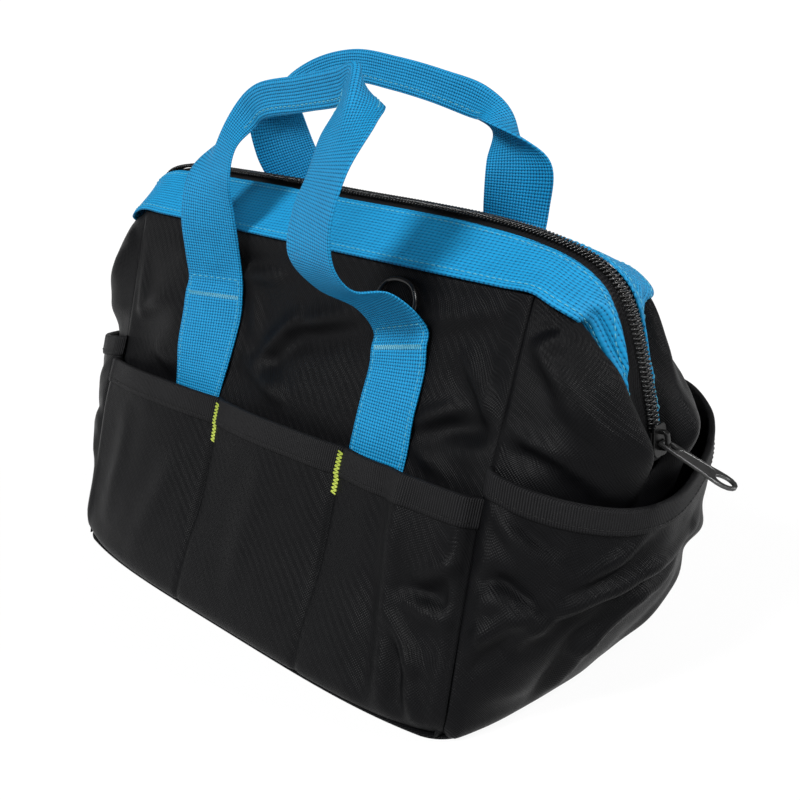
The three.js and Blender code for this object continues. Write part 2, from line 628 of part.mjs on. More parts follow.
// A handle: sewn flat to the wall at both feet, free in between, folded lengthwise at the grip.
const STRAP_COLUMNS = [-STRAP_WIDTH / 2, -FOLD_RADIUS * 1.57, 0, FOLD_RADIUS * 1.57,
  STRAP_WIDTH / 2];
const FEET = [STRAP_FOOT_Z, 105, 125, 145, 165, 176, 184];
const TOP_LIFT = 0.8;
const liftAt = (z) => (z > 170 ? TOP_LIFT : 0);
const STRAP_OFF = 2 * GAP + WEBBING / 2;
// A slant lifts the right edge of the foot's top, and lowers its left edge.
function sewnSection(x, z, side, off, slant = 0) {
  const way = side === 'left' ? 1 : -1;
  return STRAP_COLUMNS.map((w) => {
    const rise = slant * smooth(145, 184, z) * (w * way / (STRAP_WIDTH / 2));
    return along(wallPoint(x + w * way, z + rise), WALL_OUT, off);
  });
}
function freeSections(loop) {
  const path = curve(loop.map((row) => V(row.x, row.y, row.z)));
  return loop.map((row, k) => {
    const t = k / (loop.length - 1);
    const tangent = path.getTangent(t);
    const face = V(row.nx, row.ny, row.nz);
    const across = tangent.clone().cross(face).normalize();
    const out = across.clone().cross(tangent).normalize();
    const turn = row.fold * Math.PI / 2;
    return STRAP_COLUMNS.map((w) => {
      const side = Math.sign(w);
      const arc = Math.min(Math.abs(w), FOLD_RADIUS * Math.PI / 2);
      const bend = turn * arc / (FOLD_RADIUS * Math.PI / 2);
      const rest = Math.abs(w) - arc;
      const reach = bend > 0.001 ? arc * Math.sin(bend) / bend : arc;
      const drop = bend > 0.001 ? arc * (1 - Math.cos(bend)) / bend : 0;
      const p = along(V(row.x, row.y, row.z), across, side * (reach + rest * Math.cos(turn)));
      return along(p, out, -(drop + rest * Math.sin(turn)));
    });
  });
}
function handle(keys) {
  const lines = STRAP_COLUMNS.map((_, j) => curve(keys.map((row) => row[j])));
  const rows = steps(HANDLE_STEPS).map((t) => lines.map((line) => line.getPoint(t)));
  return sheet(patch(rows), WEBBING / 2, -WEBBING / 2);
}
function frontHandle() {
  const left = FEET.map((z) => sewnSection(STRAP_X.left, z, 'left', STRAP_OFF + liftAt(z)));
  const right = [...FEET].reverse().map((z) =>
    sewnSection(STRAP_X.right, z, 'right', STRAP_OFF + 2 * liftAt(z), STRAP_SLANT));
  return handle([...left, ...freeSections(FRONT_LOOP), ...right]);
}
function backHandle() {
  const turn = (row) => row.map((p) => V(p.x, -p.y, p.z)).reverse();
  const left = FEET.map((z) =>
    turn(sewnSection(-STRAP_X.right + BACK_STRAP_SHIFT, z, 'left', STRAP_OFF + liftAt(z))));
  const right = [...FEET].reverse().map((z) =>
    turn(sewnSection(-STRAP_X.left + BACK_STRAP_SHIFT, z, 'right', STRAP_OFF + liftAt(z))));
  const free = freeSections(BACK_LOOP);
  return handle([...left, ...free, ...right]);
}

// The D-ring in its own frame: its bar along X at the origin, its bow towards +Z.
function dRing() {
  const w = RING_WIDTH / 2 - RING_WIRE;
  const h = RING_HEIGHT - 2 * RING_WIRE;
  const bow = new THREE.CatmullRomCurve3([
    V(-w + 3, 0, 0), V(-w + 5, 0, 0), V(0, 0, 0), V(w - 5, 0, 0), V(w - 3, 0, 0),
    V(w, 0, 2.6), V(w, 0, h * 0.5),
    V(w * 0.68, 0, h * 0.87), V(0, 0, h), V(-w * 0.68, 0, h * 0.87), V(-w, 0, h * 0.5),
    V(-w, 0, 2.6)], true, 'centripetal');
  const sections = Array.from({ length: 26 }, (_, k) => {
    const t = k / 26;
    const p = bow.getPointAt(t);
    const tangent = bow.getTangentAt(t);
    const out = V(-tangent.z, 0, tangent.x);
    return Array.from({ length: 8 }, (_, j) => {
      const a = j * Math.PI / 4;
      return along(p, out, RING_WIRE * Math.cos(a)).add(V(0, RING_WIRE * Math.sin(a), 0));
    });
  });
  return loft(sections, [], true);
}

// The ring's loop: webbing round the bar, with its tail under the handle's foot.
function ringLoop() {
  const inner = RING_WIRE + GAP;
  const outer = inner + LOOP_CLOTH;
  const halfWidth = 8;
  const shape = new THREE.Shape();
  shape.moveTo(outer, -RING_TAIL);
  shape.lineTo(outer, 0);
  shape.absarc(0, 0, outer, 0, Math.PI * 1.5, false);
  shape.absarc(0, 0, inner, Math.PI * 1.5, 0, true);
  shape.lineTo(inner, -RING_TAIL);
  const options = { depth: 2 * halfWidth, bevelEnabled: false, curveSegments: 8 };
  const strip = new THREE.ExtrudeGeometry(shape, options).translate(0, 0, -halfWidth);
  strip.rotateY(Math.PI / 2);
  strip.rotateX(Math.PI / 2);
  return strip;
}

const bag = new THREE.Group();
const { cloth, binding: ribbed, webbing, tape, coil, slider, tab, wire } = MATERIALS;
bag.add(
  mesh('base_panel', basePanel(), cloth),
  mesh('front_panel', frontPanel, cloth),
  mesh('back_panel', reflected(frontPanel, 1), cloth),
  mesh('end_panel_right', endPanelRight, cloth),
  mesh('end_panel_left', endPanelLeft, cloth),
  mesh('front_pocket', frontPocket, cloth),
  mesh('end_pocket_right', endPocket, cloth),
  mesh('end_pocket_left', reflected(endPocket, 0), cloth),
  mesh('front_binding', frontBinding, ribbed),
  mesh('end_binding_right', endBinding, ribbed),
  mesh('end_binding_left', reflected(endBinding, 0), ribbed),
  mesh('mouth_band_front', bandFront, webbing),
  mesh('mouth_band_back', reflected(bandFront, 1), webbing),
  mesh('zipper_tape_front', tapeFront, tape),
  mesh('zipper_tape_back', reflected(tapeFront, 1), tape),
  mesh('zipper_chain', zipperChain(), coil),
  mesh('handle_front', frontHandle(), webbing),
  mesh('handle_back', backHandle(), webbing),
);

// The back pockets are the front ones turned half round.
const backGroup = new THREE.Group();
backGroup.rotation.z = Math.PI;
backGroup.add(
  mesh('back_pocket', frontPocket.clone(), cloth),
  mesh('back_binding', frontBinding.clone(), ribbed),
);

// The slider stands on the zip line near its right end, and its tab hangs on the bail.
const sliderGroup = new THREE.Group();
sliderGroup.position.set(SLIDER_AT.x, 0, SLIDER_AT.z);
sliderGroup.rotation.y = SLIDER_LEAN;
const tabGroup = new THREE.Group();
tabGroup.position.set(TAB_PIVOT.out, 0, TAB_PIVOT.up);
tabGroup.rotation.y = TAB_DROP - SLIDER_LEAN;
tabGroup.add(mesh('pull_tab', pullTab(), tab));
sliderGroup.add(mesh('zip_slider', zipSlider(), slider), tabGroup);

// The ring leans with the wall, above the right foot of the front handle.
const ringGroup = new THREE.Group();
const ringSeat = wallPoint(RING_AT.x, RING_AT.z);
ringGroup.position.copy(along(ringSeat, WALL_OUT, RING_WIRE + GAP + LOOP_CLOTH + GAP));
ringGroup.rotation.x = RING_LEAN;
ringGroup.add(mesh('d_ring', dRing(), wire), mesh('d_ring_loop', ringLoop(), ribbed));
bag.add(backGroup, sliderGroup, ringGroup);

export default bag;
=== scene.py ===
# %% [markdown]
# # A wide mouth tool bag
# This lesson dresses a sewn tool bag. The measured model of the bag comes in first and stays as a
# fixed frame: it says where each piece is and how large. Every piece is then made again as the
# worked thing that it is, such as woven cloth with creases, webbing with stitches, or a nylon coil.
# Shapes are written in millimetres, as a bag maker would, and reach Blender in metres.

# %% Load the frame
import json
import math

import bpy
import numpy as np
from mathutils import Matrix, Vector

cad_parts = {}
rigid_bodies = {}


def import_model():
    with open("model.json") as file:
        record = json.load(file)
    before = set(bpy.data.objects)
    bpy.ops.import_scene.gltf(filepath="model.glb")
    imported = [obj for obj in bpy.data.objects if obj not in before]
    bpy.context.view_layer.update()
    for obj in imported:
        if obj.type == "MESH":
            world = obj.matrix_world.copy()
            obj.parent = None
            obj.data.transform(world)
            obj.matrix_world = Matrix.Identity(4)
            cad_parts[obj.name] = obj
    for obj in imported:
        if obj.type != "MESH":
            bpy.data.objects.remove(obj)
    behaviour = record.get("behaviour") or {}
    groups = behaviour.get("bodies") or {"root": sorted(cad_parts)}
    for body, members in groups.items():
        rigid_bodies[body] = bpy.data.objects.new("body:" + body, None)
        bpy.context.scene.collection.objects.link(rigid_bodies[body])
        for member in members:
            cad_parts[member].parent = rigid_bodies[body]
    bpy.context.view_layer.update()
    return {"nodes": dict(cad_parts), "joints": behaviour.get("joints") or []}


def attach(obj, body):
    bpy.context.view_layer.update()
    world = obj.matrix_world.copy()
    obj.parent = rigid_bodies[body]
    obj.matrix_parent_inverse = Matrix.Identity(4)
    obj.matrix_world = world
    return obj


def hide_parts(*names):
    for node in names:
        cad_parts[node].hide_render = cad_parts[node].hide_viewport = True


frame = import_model()
MM = 0.001
HINGES = {joint["name"]: np.array(joint["pos_m"]) / MM for joint in frame["joints"]}
print("frame:", len(frame["nodes"]), "nodes, hinges", ", ".join(HINGES))

# %% [markdown]
# ## The camera
# A product photographer stands off one corner of the bag, a little above it, so that the front,
# one end and the zip all show. Blender could aim the camera with a constraint, but a fixed place,
# two angles and a lens are easier to read and never move by themselves.

# %% Camera
LENS_MM = 48.71
CAMERA_AT = Vector((0.4567, -0.4332, 0.3431))
CAMERA_AZIMUTH = math.radians(44.065)
CAMERA_ELEVATION = math.radians(20.085)

level = math.cos(CAMERA_ELEVATION)
backwards = Vector((math.sin(CAMERA_AZIMUTH) * level, -math.cos(CAMERA_AZIMUTH) * level,
                    math.sin(CAMERA_ELEVATION)))
camera = bpy.data.objects.new("camera", bpy.data.cameras.new("camera"))
bpy.context.scene.collection.objects.link(camera)
camera.data.lens = LENS_MM
camera.location = CAMERA_AT
camera.rotation_mode = "QUATERNION"
camera.rotation_quaternion = (-backwards).to_track_quat("-Z", "Y")
bpy.context.scene.camera = camera
print("camera at", [round(c, 3) for c in camera.location])

# %% [markdown]
# ## Curves, noise and creases
# Cloth follows curves. A Catmull-Rom spline passes through every point it is given, which suits a
# table of measured places. Two more tools make cloth look like cloth: smooth noise for the lumps
# that no one planned, and creases, each a line on the cloth with a width and a height.

# %% Tables and curves
def table(columns, *rows):
    """Rows of numbers, as one array for each named column."""
    return {name: np.array(column, float) for name, column in zip(columns.split(), zip(*rows))}


def columns(rows, *names):
    """Columns of a table side by side, as points."""
    return np.stack([rows[name] for name in names], axis=-1)


def ramp(low, high, x):
    """A smooth step from 0 at low to 1 at high."""
    t = np.clip((x - low) / (high - low), 0, 1)
    return t * t * (3 - 2 * t)


def unit(vectors):
    return vectors / np.maximum(np.linalg.norm(vectors, axis=-1, keepdims=True), 1e-9)


def spline(keys, t, closed=False):
    """Points of a centripetal Catmull-Rom curve through the keys, for t from 0 to 1."""
    keys = np.asarray(keys, float)
    t = np.atleast_1d(t)
    if closed:
        line = np.vstack([keys[-1:], keys, keys[:2]])
    else:
        line = np.vstack([2 * keys[0] - keys[1], keys, 2 * keys[-1] - keys[-2]])
    spans = len(line) - 3
    k = np.clip((t * spans).astype(int), 0, spans - 1)
    f = (t * spans - k)[:, None]
    p = [line[k + i] for i in range(4)]
    d = [np.sqrt(np.linalg.norm(p[i + 1] - p[i], axis=1))[:, None] + 1e-6 for i in range(3)]
    leave = (p[1] - p[0]) / d[0] - (p[2] - p[0]) / (d[0] + d[1]) + (p[2] - p[1]) / d[1]
    reach = (p[2] - p[1]) / d[1] - (p[3] - p[1]) / (d[1] + d[2]) + (p[3] - p[2]) / d[2]
    bend = (f**3 - 2 * f**2 + f) * leave * d[1] + (f**3 - f**2) * reach * d[1]
    return (2 * f**3 - 3 * f**2 + 1) * p[1] + (3 * f**2 - 2 * f**3) * p[2] + bend


def noise(u, v, size, seed):
    """Smooth seeded noise from -1 to 1, in lumps about size wide."""
    cells = 64
    lattice = np.random.default_rng(seed).uniform(-1, 1, (cells, cells))
    i = np.floor(u / size).astype(int)
    j = np.floor(v / size).astype(int)
    a = ramp(0, 1, u / size - i)
    b = ramp(0, 1, v / size - j)
    low = lattice[i % cells, j % cells] * (1 - a) + lattice[(i + 1) % cells, j % cells] * a
    high = (lattice[i % cells, (j + 1) % cells] * (1 - a)
            + lattice[(i + 1) % cells, (j + 1) % cells] * a)
    return low * (1 - b) + high * b


def lumpy(u, v, rows, shift=0):
    """Lumps that no one planned: noise of one or more sizes, each with its height and seed."""
    return sum(high * noise(u, v, size, seed + shift) for size, high, seed in rows)


CREASE = "u0 v0 u1 v1 wide high"
HOLLOW = {"deep": 0.55, "aside": 1.8, "wide": 1.2}
CREASE_ENDS = 0.8


def creases(u, v, rows):
    """Height of soft folds. Each row is a line on the cloth, with a hollow beside its ridge."""
    height = np.zeros(np.broadcast(u, v).shape)
    for u0, v0, u1, v1, wide, high in columns(rows, *CREASE.split()):
        long = math.hypot(u1 - u0, v1 - v0)
        along = ((u - u0) * (u1 - u0) + (v - v0) * (v1 - v0)) / long**2
        across = ((u - u0) * (v1 - v0) - (v - v0) * (u1 - u0)) / long
        ridge = np.exp(-(across / wide) ** 2)
        beside = (across - HOLLOW["aside"] * wide) / (HOLLOW["wide"] * wide)
        hollow = HOLLOW["deep"] * np.exp(-beside ** 2)
        height += high * (ridge - hollow) * np.sin(np.pi * np.clip(along, 0, 1)) ** CREASE_ENDS
    return height


print("spline through three points:", spline([(0, 0), (1, 1), (2, 0)], [0.25])[0].round(3))

# %% [markdown]
# ## From a grid of points to a piece of cloth
# A sheet is a grid of points with the flat place of each point, so that a weave can follow the
# cloth. A shell gives the sheet its thickness and closes its edges, which are pinched a little, as
# a cut or folded edge is. Blender's Solidify modifier would do it too, but working on arrays lets
# us sew two halves together first and lay stitches on the very same grid.

# %% Sheets and shells
def arcs(grid, axis):
    """Length along the rows (axis 1) or the columns (axis 0) of a grid."""
    gaps = np.linalg.norm(np.diff(grid, axis=axis), axis=2)
    start = [(1, 0), (0, 0)] if axis == 0 else [(0, 0), (1, 0)]
    return np.cumsum(np.pad(gaps, start), axis=axis)


def at_lengths(line, long, at):
    """Points of a line at some lengths along it."""
    return np.stack([np.interp(at, long, line[:, axis]) for axis in range(3)], axis=-1)


def sheet(grid, flat=None):
    """Points, quads and flat places of a grid whose rows run left to right, seen from outside."""
    rows, wide = grid.shape[:2]
    k = np.arange(rows * wide).reshape(rows, wide)
    quads = np.stack([k[:-1, :-1], k[:-1, 1:], k[1:, 1:], k[1:, :-1]], axis=-1)
    if flat is None:
        flat = np.stack([arcs(grid, 1), arcs(grid, 0)], axis=-1)
    return grid.reshape(-1, 3), quads.reshape(-1, 4), flat.reshape(-1, 2)


PER_MICROMETRE = 1000


def sew(*sheets):
    """Sheets joined into one: points at the same place become one point."""
    shift = np.cumsum([0] + [len(s[0]) for s in sheets])
    points = np.vstack([s[0] for s in sheets])
    quads = np.vstack([s[1] + shift[k] for k, s in enumerate(sheets)])
    flat = np.vstack([s[2] for s in sheets])
    places = np.round(points * PER_MICROMETRE).astype(np.int64)
    _, first, place = np.unique(places, axis=0, return_index=True, return_inverse=True)
    return points[first], place.reshape(-1)[quads], flat[first]


def normals(points, quads):
    a, b, c, d = (points[quads[:, i]] for i in range(4))
    total = np.zeros_like(points)
    for i in range(4):
        np.add.at(total, quads[:, i], np.cross(c - a, d - b))
    return unit(total)


def grid_normals(grid):
    points, quads, _ = sheet(grid)
    return normals(points, quads).reshape(grid.shape)


def shell(cloth, out, inner, edge=0.55):
    """A closed wall from a sheet: out and inner are the faces' heights above it."""
    points, quads, flat = cloth
    count = len(points)
    n = normals(points, quads)
    edges = np.vstack([quads[:, [i, (i + 1) % 4]] for i in range(4)])
    there = edges[:, 0] * count + edges[:, 1]
    back = edges[:, 1] * count + edges[:, 0]
    rim = edges[~np.isin(there, back)]
    share = np.ones(count)
    share[rim.ravel()] = edge
    middle = (out + inner) / 2
    half = (out - inner) / 2 * share
    faces = quads.tolist() + (quads[:, ::-1] + count).tolist()
    faces += np.stack([rim[:, 1], rim[:, 0], rim[:, 0] + count, rim[:, 1] + count], 1).tolist()
    both = np.vstack([points + n * (middle + half)[:, None], points + n * (middle - half)[:, None]])
    return both, faces, np.vstack([flat, flat])


def merge(shapes):
    """Several shapes as one."""
    shift = np.cumsum([0] + [len(s[0]) for s in shapes])
    faces = [[k + shift[i] for k in face] for i, s in enumerate(shapes) for face in s[1]]
    return np.vstack([s[0] for s in shapes]), faces, np.vstack([s[2] for s in shapes])


# %% Tubes, slabs and objects
def tube(path, up, radius, sides=8, closed=False):
    """A round wire along a path. up is a direction that the path never takes."""
    if closed:
        tangent = unit(np.roll(path, -1, axis=0) - np.roll(path, 1, axis=0))
    else:
        tangent = unit(np.gradient(path, axis=0))
    side = unit(np.cross(tangent, up))
    rise = np.cross(side, tangent)
    angle = np.linspace(0, 2 * np.pi, sides, endpoint=False)
    ring = side[:, None] * np.cos(angle)[:, None] + rise[:, None] * np.sin(angle)[:, None]
    points = path[:, None] + ring * np.broadcast_to(radius, len(path))[:, None, None]
    k = np.arange(len(path) * sides).reshape(len(path), sides)
    if closed:
        k = np.vstack([k, k[:1]])
    turn = np.roll(k, -1, axis=1)
    quads = np.stack([k[:-1], k[1:], turn[1:], turn[:-1]], axis=-1).reshape(-1, 4).tolist()
    if not closed:
        quads += [k[0].tolist(), k[-1][::-1].tolist()]
    long = arcs(path[None], 1)[0]
    flat = np.stack(np.broadcast_arrays(angle[None], long[:, None]), axis=-1)
    return points.reshape(-1, 3), quads, flat.reshape(-1, 2)


def slab(outline, holes, thick, bevel):
    """A plate with round edges, made by filling a flat curve and its holes."""
    curve = bpy.data.curves.new("outline", "CURVE")
    curve.dimensions = "2D"
    curve.fill_mode = "BOTH"
    curve.extrude = thick / 2 - bevel
    curve.bevel_depth = bevel
    curve.bevel_resolution = 2
    curve.offset = -bevel
    for loop in [outline, *holes]:
        line = curve.splines.new("POLY")
        line.points.add(len(loop) - 1)
        for point, (x, y) in zip(line.points, loop):
            point.co = (x, y, 0, 1)
        line.use_cyclic_u = True
    holder = bpy.data.objects.new("outline", curve)
    mesh = bpy.data.meshes.new_from_object(holder)
    points = np.array([v.co for v in mesh.vertices], float)
    faces = [list(face.vertices) for face in mesh.polygons]
    for data, owner in ((holder, bpy.data.objects), (curve, bpy.data.curves),
                        (mesh, bpy.data.meshes)):
        owner.remove(data)
    return points, faces, points[:, :2]


def build(name, shape, finish, smooth_angle=None):
    """A Blender object from a shape in millimetres, with its flat places as a UV map in metres."""
    points, faces, flat = shape
    mesh = bpy.data.meshes.new(name)
    mesh.from_pydata((points * MM).tolist(), [], [list(face) for face in faces])
    mesh.polygons.foreach_set("use_smooth", np.ones(len(mesh.polygons), bool))
    corners = np.empty(len(mesh.loops), np.int32)
    mesh.loops.foreach_get("vertex_index", corners)
    layer = mesh.uv_layers.new(name="flat")
    layer.data.foreach_set("uv", (flat * MM)[corners].astype(np.float32).ravel())
    if smooth_angle:
        mesh.set_sharp_from_angle(angle=math.radians(smooth_angle))
    mesh.materials.append(finish)
    made = bpy.data.objects.new("dressed_" + name, mesh)
    bpy.context.scene.collection.objects.link(made)
    return made


def dress(made, slot, *nodes, body="bag"):
    """The piece rides on its body, and the frame's nodes that it stands for are hidden."""
    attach(made, body)
    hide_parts(*nodes)
    print(made.name, "-", len(made.data.polygons), "faces")
    return made


# %% [markdown]
# ## Shader maths as Python
# A material is a graph of nodes, and a graph is hard to read in code. One small class wraps a
# socket, so that sums and products are written as sums and products, and each adds its Math node.
# Every other node comes from one method that takes the node's type, its settings and its inputs.

# %% A socket that calculates
class Signal:
    """One output of a material's node graph, with Python arithmetic."""

    def __init__(self, tree, socket=None):
        self.tree = tree
        self.socket = socket

    def node(self, kind, settings=None, inputs=None, out=0):
        made = self.tree.nodes.new("ShaderNode" + kind)
        for name, value in (settings or {}).items():
            setattr(made, name, value)
        for name, value in (inputs or {}).items():
            if isinstance(value, Signal):
                self.tree.links.new(value.socket, made.inputs[name])
            else:
                made.inputs[name].default_value = value
        return Signal(self.tree, made.outputs[out] if made.outputs else None)

    def maths(self, operation, a, b=0.0):
        return self.node("Math", {"operation": operation}, {0: a, 1: b})

    def __add__(self, other):
        return self.maths("ADD", self, other)

    def __sub__(self, other):
        return self.maths("SUBTRACT", self, other)

    def __rsub__(self, other):
        return self.maths("SUBTRACT", other, self)

    def __mul__(self, other):
        return self.maths("MULTIPLY", self, other)

    __radd__ = __add__
    __rmul__ = __mul__

    def sine(self):
        return self.maths("SINE", self)

    def size(self):
        return self.maths("ABSOLUTE", self)

    def clamp(self):
        return self.node("Clamp", None, {0: self})

    def wave(self, pitch):
        """A wave from -1 to 1 along a length in metres, pitch in millimetres."""
        return (self * (2 * math.pi / (pitch * MM))).sine()

    def ribs(self, pitch):
        """Round ribs from 0 in the grooves to 1 on the crests, pitch in millimetres."""
        return (self * (math.pi / (pitch * MM))).sine().size()

    def mix(self, low, high):
        """A colour between low and high."""
        ends = {0: self, 6: (*low, 1), 7: (*high, 1)}
        return self.node("Mix", {"data_type": "RGBA"}, ends, out=2)


# %% A material with its own graph
def finish(name, weave, specular=0.5, metallic=0.0, glow=0.0):
    """A material. weave(u, v, flat) gives its colour, roughness, height and depth of relief."""
    material = bpy.data.materials.new(name)
    material.use_nodes = True
    tree = material.node_tree
    tree.nodes.clear()
    start = Signal(tree)
    flat = start.node("UVMap", {"uv_map": "flat"})
    split = start.node("SeparateXYZ", None, {0: flat})
    v = Signal(tree, split.socket.node.outputs[1])
    color, rough, height, depth = weave(split, v, flat)
    bump = start.node("Bump", None, {"Strength": 1.0, "Distance": depth * MM, "Height": height})
    shader = start.node("BsdfPrincipled", None, {
        "Base Color": color, "Roughness": rough, "Normal": bump, "Specular IOR Level": specular,
        "Metallic": metallic, "Emission Color": (1, 1, 1, 1), "Emission Strength": glow})
    start.node("OutputMaterial", None, {0: shader})
    return material


def lumps(flat, scale_mm, detail=3.0):
    """Noise from 0 to 1 with lumps of about scale_mm."""
    settings = {"Vector": flat, "Scale": 1 / (scale_mm * MM), "Detail": detail}
    return flat.node("TexNoise", None, settings)


# %% [markdown]
# ## Cloth, webbing and metal
# Each finish has its own weave. Black oxford cloth is a fine basket of yarns with a soft sheen.
# The webbing is a coarse weave: columns of yarn along the strap, with a grid of small holes.
# Binding tape has ribs across it. In every weave, painted shade darkens the hollows and holes, and
# the crests are painted lighter. All of them are worked out from the flat place of each point, so
# the pattern turns with the cloth. Photographs would be simpler, but they fix the scale and light.

# %% Cloth finishes
# Each pair: the dark painted into a weave's hollows as shade, and the lighter tone of its crests.
OXFORD_YARN = 1.6
OXFORD_TWILL = 2.1
OXFORD = ((0.0004, 0.0004, 0.0006), (0.004, 0.0041, 0.0046))
TAPE_RIB = 1.35
TAPE_YARN = 0.9
RIBBED = ((0.0012, 0.0012, 0.0014), (0.0078, 0.0078, 0.0085))
BLUE = ((0.0045, 0.184, 0.377), (0.0006, 0.026, 0.075))
HERRINGBONE = {"wide": 5.0, "sway": 0.35, "pitch": 1.1}
ZIP_TAPE = ((0.002, 0.002, 0.0023), (0.008, 0.008, 0.0087))


def oxford_weave(u, v, flat):
    basket = u.wave(OXFORD_YARN) * v.wave(OXFORD_YARN)
    twill = (u + v).wave(OXFORD_TWILL)
    slubs = lumps(flat, 9)
    height = basket * 0.5 + twill * 0.15 + lumps(flat, 0.6, 1.0) * 0.3
    # Painted shade: basket and twill hollows are darker, their crests lighter; slubs are yarn tone.
    shade = (0.3 + basket * 0.25 + twill * 0.1 + slubs * 0.4).clamp()
    return shade.mix(*OXFORD), 0.36 + slubs * 0.14, height, 0.17


def ribbed_weave(u, v, flat):
    rib = u.ribs(TAPE_RIB)
    height = rib + v.ribs(TAPE_YARN) * 0.25 + lumps(flat, 0.7, 1.0) * 0.3
    # Painted shade: the grooves between the ribs are darker than the crests; lumps are tape tone.
    shade = (rib * 0.8 + lumps(flat, 5) * 0.3 - 0.05).clamp()
    return shade.mix(*RIBBED), 0.6 - rib * 0.1, height, 0.35


def webbing(column_pitch, row_pitch, row_share):
    """Woven webbing: yarn columns along it, rows across it, and painted shade in the holes."""
    def weave(u, v, flat):
        column = u.ribs(column_pitch)
        row = v.ribs(row_pitch)
        groove = (1 - column * 1.5).clamp()
        notch = (1 - row * 1.3).clamp()
        hole = (groove * (0.4 + notch * 0.9)).clamp()
        tone = lumps(flat, 14) * 0.25 + lumps(flat, 0.8, 1.0) * 0.25
        # Painted shade: the holes and the notches between rows are darker; tone is the yarn's own.
        shade = (hole * 0.65 + notch * row_share + tone - 0.2).clamp()
        height = column * 0.5 + row * row_share - hole * 0.5
        return shade.mix(*BLUE), 0.55 + hole * 0.2, height, 0.6
    return weave


def tape_weave(u, v, flat):
    sway = u.wave(HERRINGBONE["wide"]) * HERRINGBONE["sway"]
    herringbone = (sway + v * (2 * math.pi / (HERRINGBONE["pitch"] * MM))).sine()
    height = herringbone * 0.5 + lumps(flat, 0.5, 1.0) * 0.4
    # Painted shade: the low stripes of the herringbone are darker; the lumps are the tape's own tone.
    shade = (0.4 + herringbone * 0.25 + lumps(flat, 6) * 0.3).clamp()
    return shade.mix(*ZIP_TAPE), 0.6 - shade * 0.1, height, 0.15


black_cloth = finish("black_oxford_cloth", oxford_weave, specular=0.06)
ribbed_tape = finish("black_ribbed_tape", ribbed_weave, specular=0.08)
strap_weave = webbing(column_pitch=1.7, row_pitch=1.75, row_share=0.45)
band_weave = webbing(column_pitch=2.0, row_pitch=2.8, row_share=0.12)
blue_webbing = finish("blue_webbing", strap_weave, specular=0.15)
blue_band = finish("blue_band", band_weave, specular=0.15)
zip_tape = finish("black_zip_tape", tape_weave, specular=0.12)
print("cloth finishes:", black_cloth.name, ribbed_tape.name, blue_webbing.name, zip_tape.name)

# %% Metal, nylon and thread finishes
def cast(dark, light, rough, depth):
    """A cast or moulded finish: faint clouds in its colour, gloss and surface."""
    def weave(u, v, flat):
        cloud = lumps(flat, 4)
        return cloud.mix(dark, light), rough + cloud * 0.12, lumps(flat, 0.9), depth
    return weave


THREAD_DRIFT = 650


def spun(dark, light):
    """Sewing thread: a plain tone, which grows slowly lighter along a long run."""
    def weave(u, v, flat):
        drift = v.ribs(THREAD_DRIFT)
        return drift.mix(dark, light), 0.55 - drift * 0.1, drift, 0.12
    return weave


zip_coil = finish("black_nylon_coil", cast((0.003,) * 3, (0.009,) * 3, 0.22, 0.02), specular=0.4)
slider_metal = finish("black_painted_zinc", cast((0.002,) * 3, (0.006,) * 3, 0.22, 0.04), specular=0.18)
tab_metal = finish("dark_zinc", cast((0.05,) * 3, (0.085,) * 3, 0.25, 0.05), metallic=0.8)
ring_steel = finish("black_painted_steel", cast((0.006,) * 3, (0.015,) * 3, 0.14, 0.02), metallic=0.4)
THREAD_SHINE = 0.2
pale_thread = finish("pale_blue_thread", spun((0.06, 0.24, 0.33), (0.16, 0.36, 0.43)), THREAD_SHINE)
black_thread = finish("black_thread", spun((0.003,) * 3, (0.018,) * 3), THREAD_SHINE)
lime_thread = finish("lime_thread", spun((0.2, 0.25, 0.03), (0.38, 0.43, 0.08)), THREAD_SHINE)
print("hard finishes and threads are ready")

# %% [markdown]
# ## The long walls
# The front and the back are two leaning walls of cloth. Their depth and their seams come from one
# short table by height, the foot bows out between its corners, and soft hollows show where the
# cloth sinks between the handles. Creases are added above the pockets, where the cloth is free.

# %% Shape of the long walls
GAP = 0.3
CLOTH = 1.6
POCKET_CLOTH = 1.5
LENGTH = 330
DEPTH = 206
RIM_Z = 119
FOOT_Z = 3.4
FRONT_BOW = 12
END_BOW = 11
FOOT_CURL = 2.6
FOOT_ROUND = 8
FOOT_EASE = 2.2
CORNER_CURL = 5
CORNER_ROUND = 18
CORNER_EASE = 2.4
CORNER_SHARP = 12
BOW_GONE_Z = 105

WALL = table(
    "z y seam",
    (0, 103, 165), (30, 95, 163.5), (75, 80.5, 160.5), (120, 65.5, 157.5),
    (165, 51.5, 158), (205, 40, 159.5), (216, 36.2, 160), (220, 29.5, 160))
DENTS = table(
    "x z spread_x spread_z depth",
    (8, 172, 58, 34, 6), (-128, 165, 26, 34, -3), (134, 150, 18, 26, 3))
wall_line = spline(columns(WALL, "seam", "y", "z"), np.linspace(0, 1, 161))


def corner_curl(z):
    """The sewn corners are rounded at the floor."""
    return CORNER_CURL * (1 - np.clip((z - FOOT_Z) / CORNER_ROUND, 0, 1)) ** CORNER_EASE


def seam_at(z):
    return np.interp(z, wall_line[:, 2], wall_line[:, 0]) - corner_curl(z)


def depth_at(z):
    return np.interp(z, wall_line[:, 2], wall_line[:, 1])


def bow(part):
    return 1 - np.minimum(1, np.abs(part)) ** 4


def foot_y(x):
    return DEPTH / 2 + FRONT_BOW * bow(x / (LENGTH / 2))


def foot_x(y):
    return LENGTH / 2 + END_BOW * bow(y / (DEPTH / 2))


def foot_curl(z):
    """The cloth turns in under the bag at its foot."""
    return FOOT_CURL * (1 - np.clip((z - FOOT_Z) / FOOT_ROUND, 0, 1)) ** FOOT_EASE


def wall_depth(x, z):
    across = np.minimum(1, np.abs(x) / seam_at(z))
    swell = FRONT_BOW * bow(across) * (1 - ramp(0, BOW_GONE_Z, z))
    return depth_at(z) + swell - foot_curl(z) - corner_curl(z) * across**CORNER_SHARP


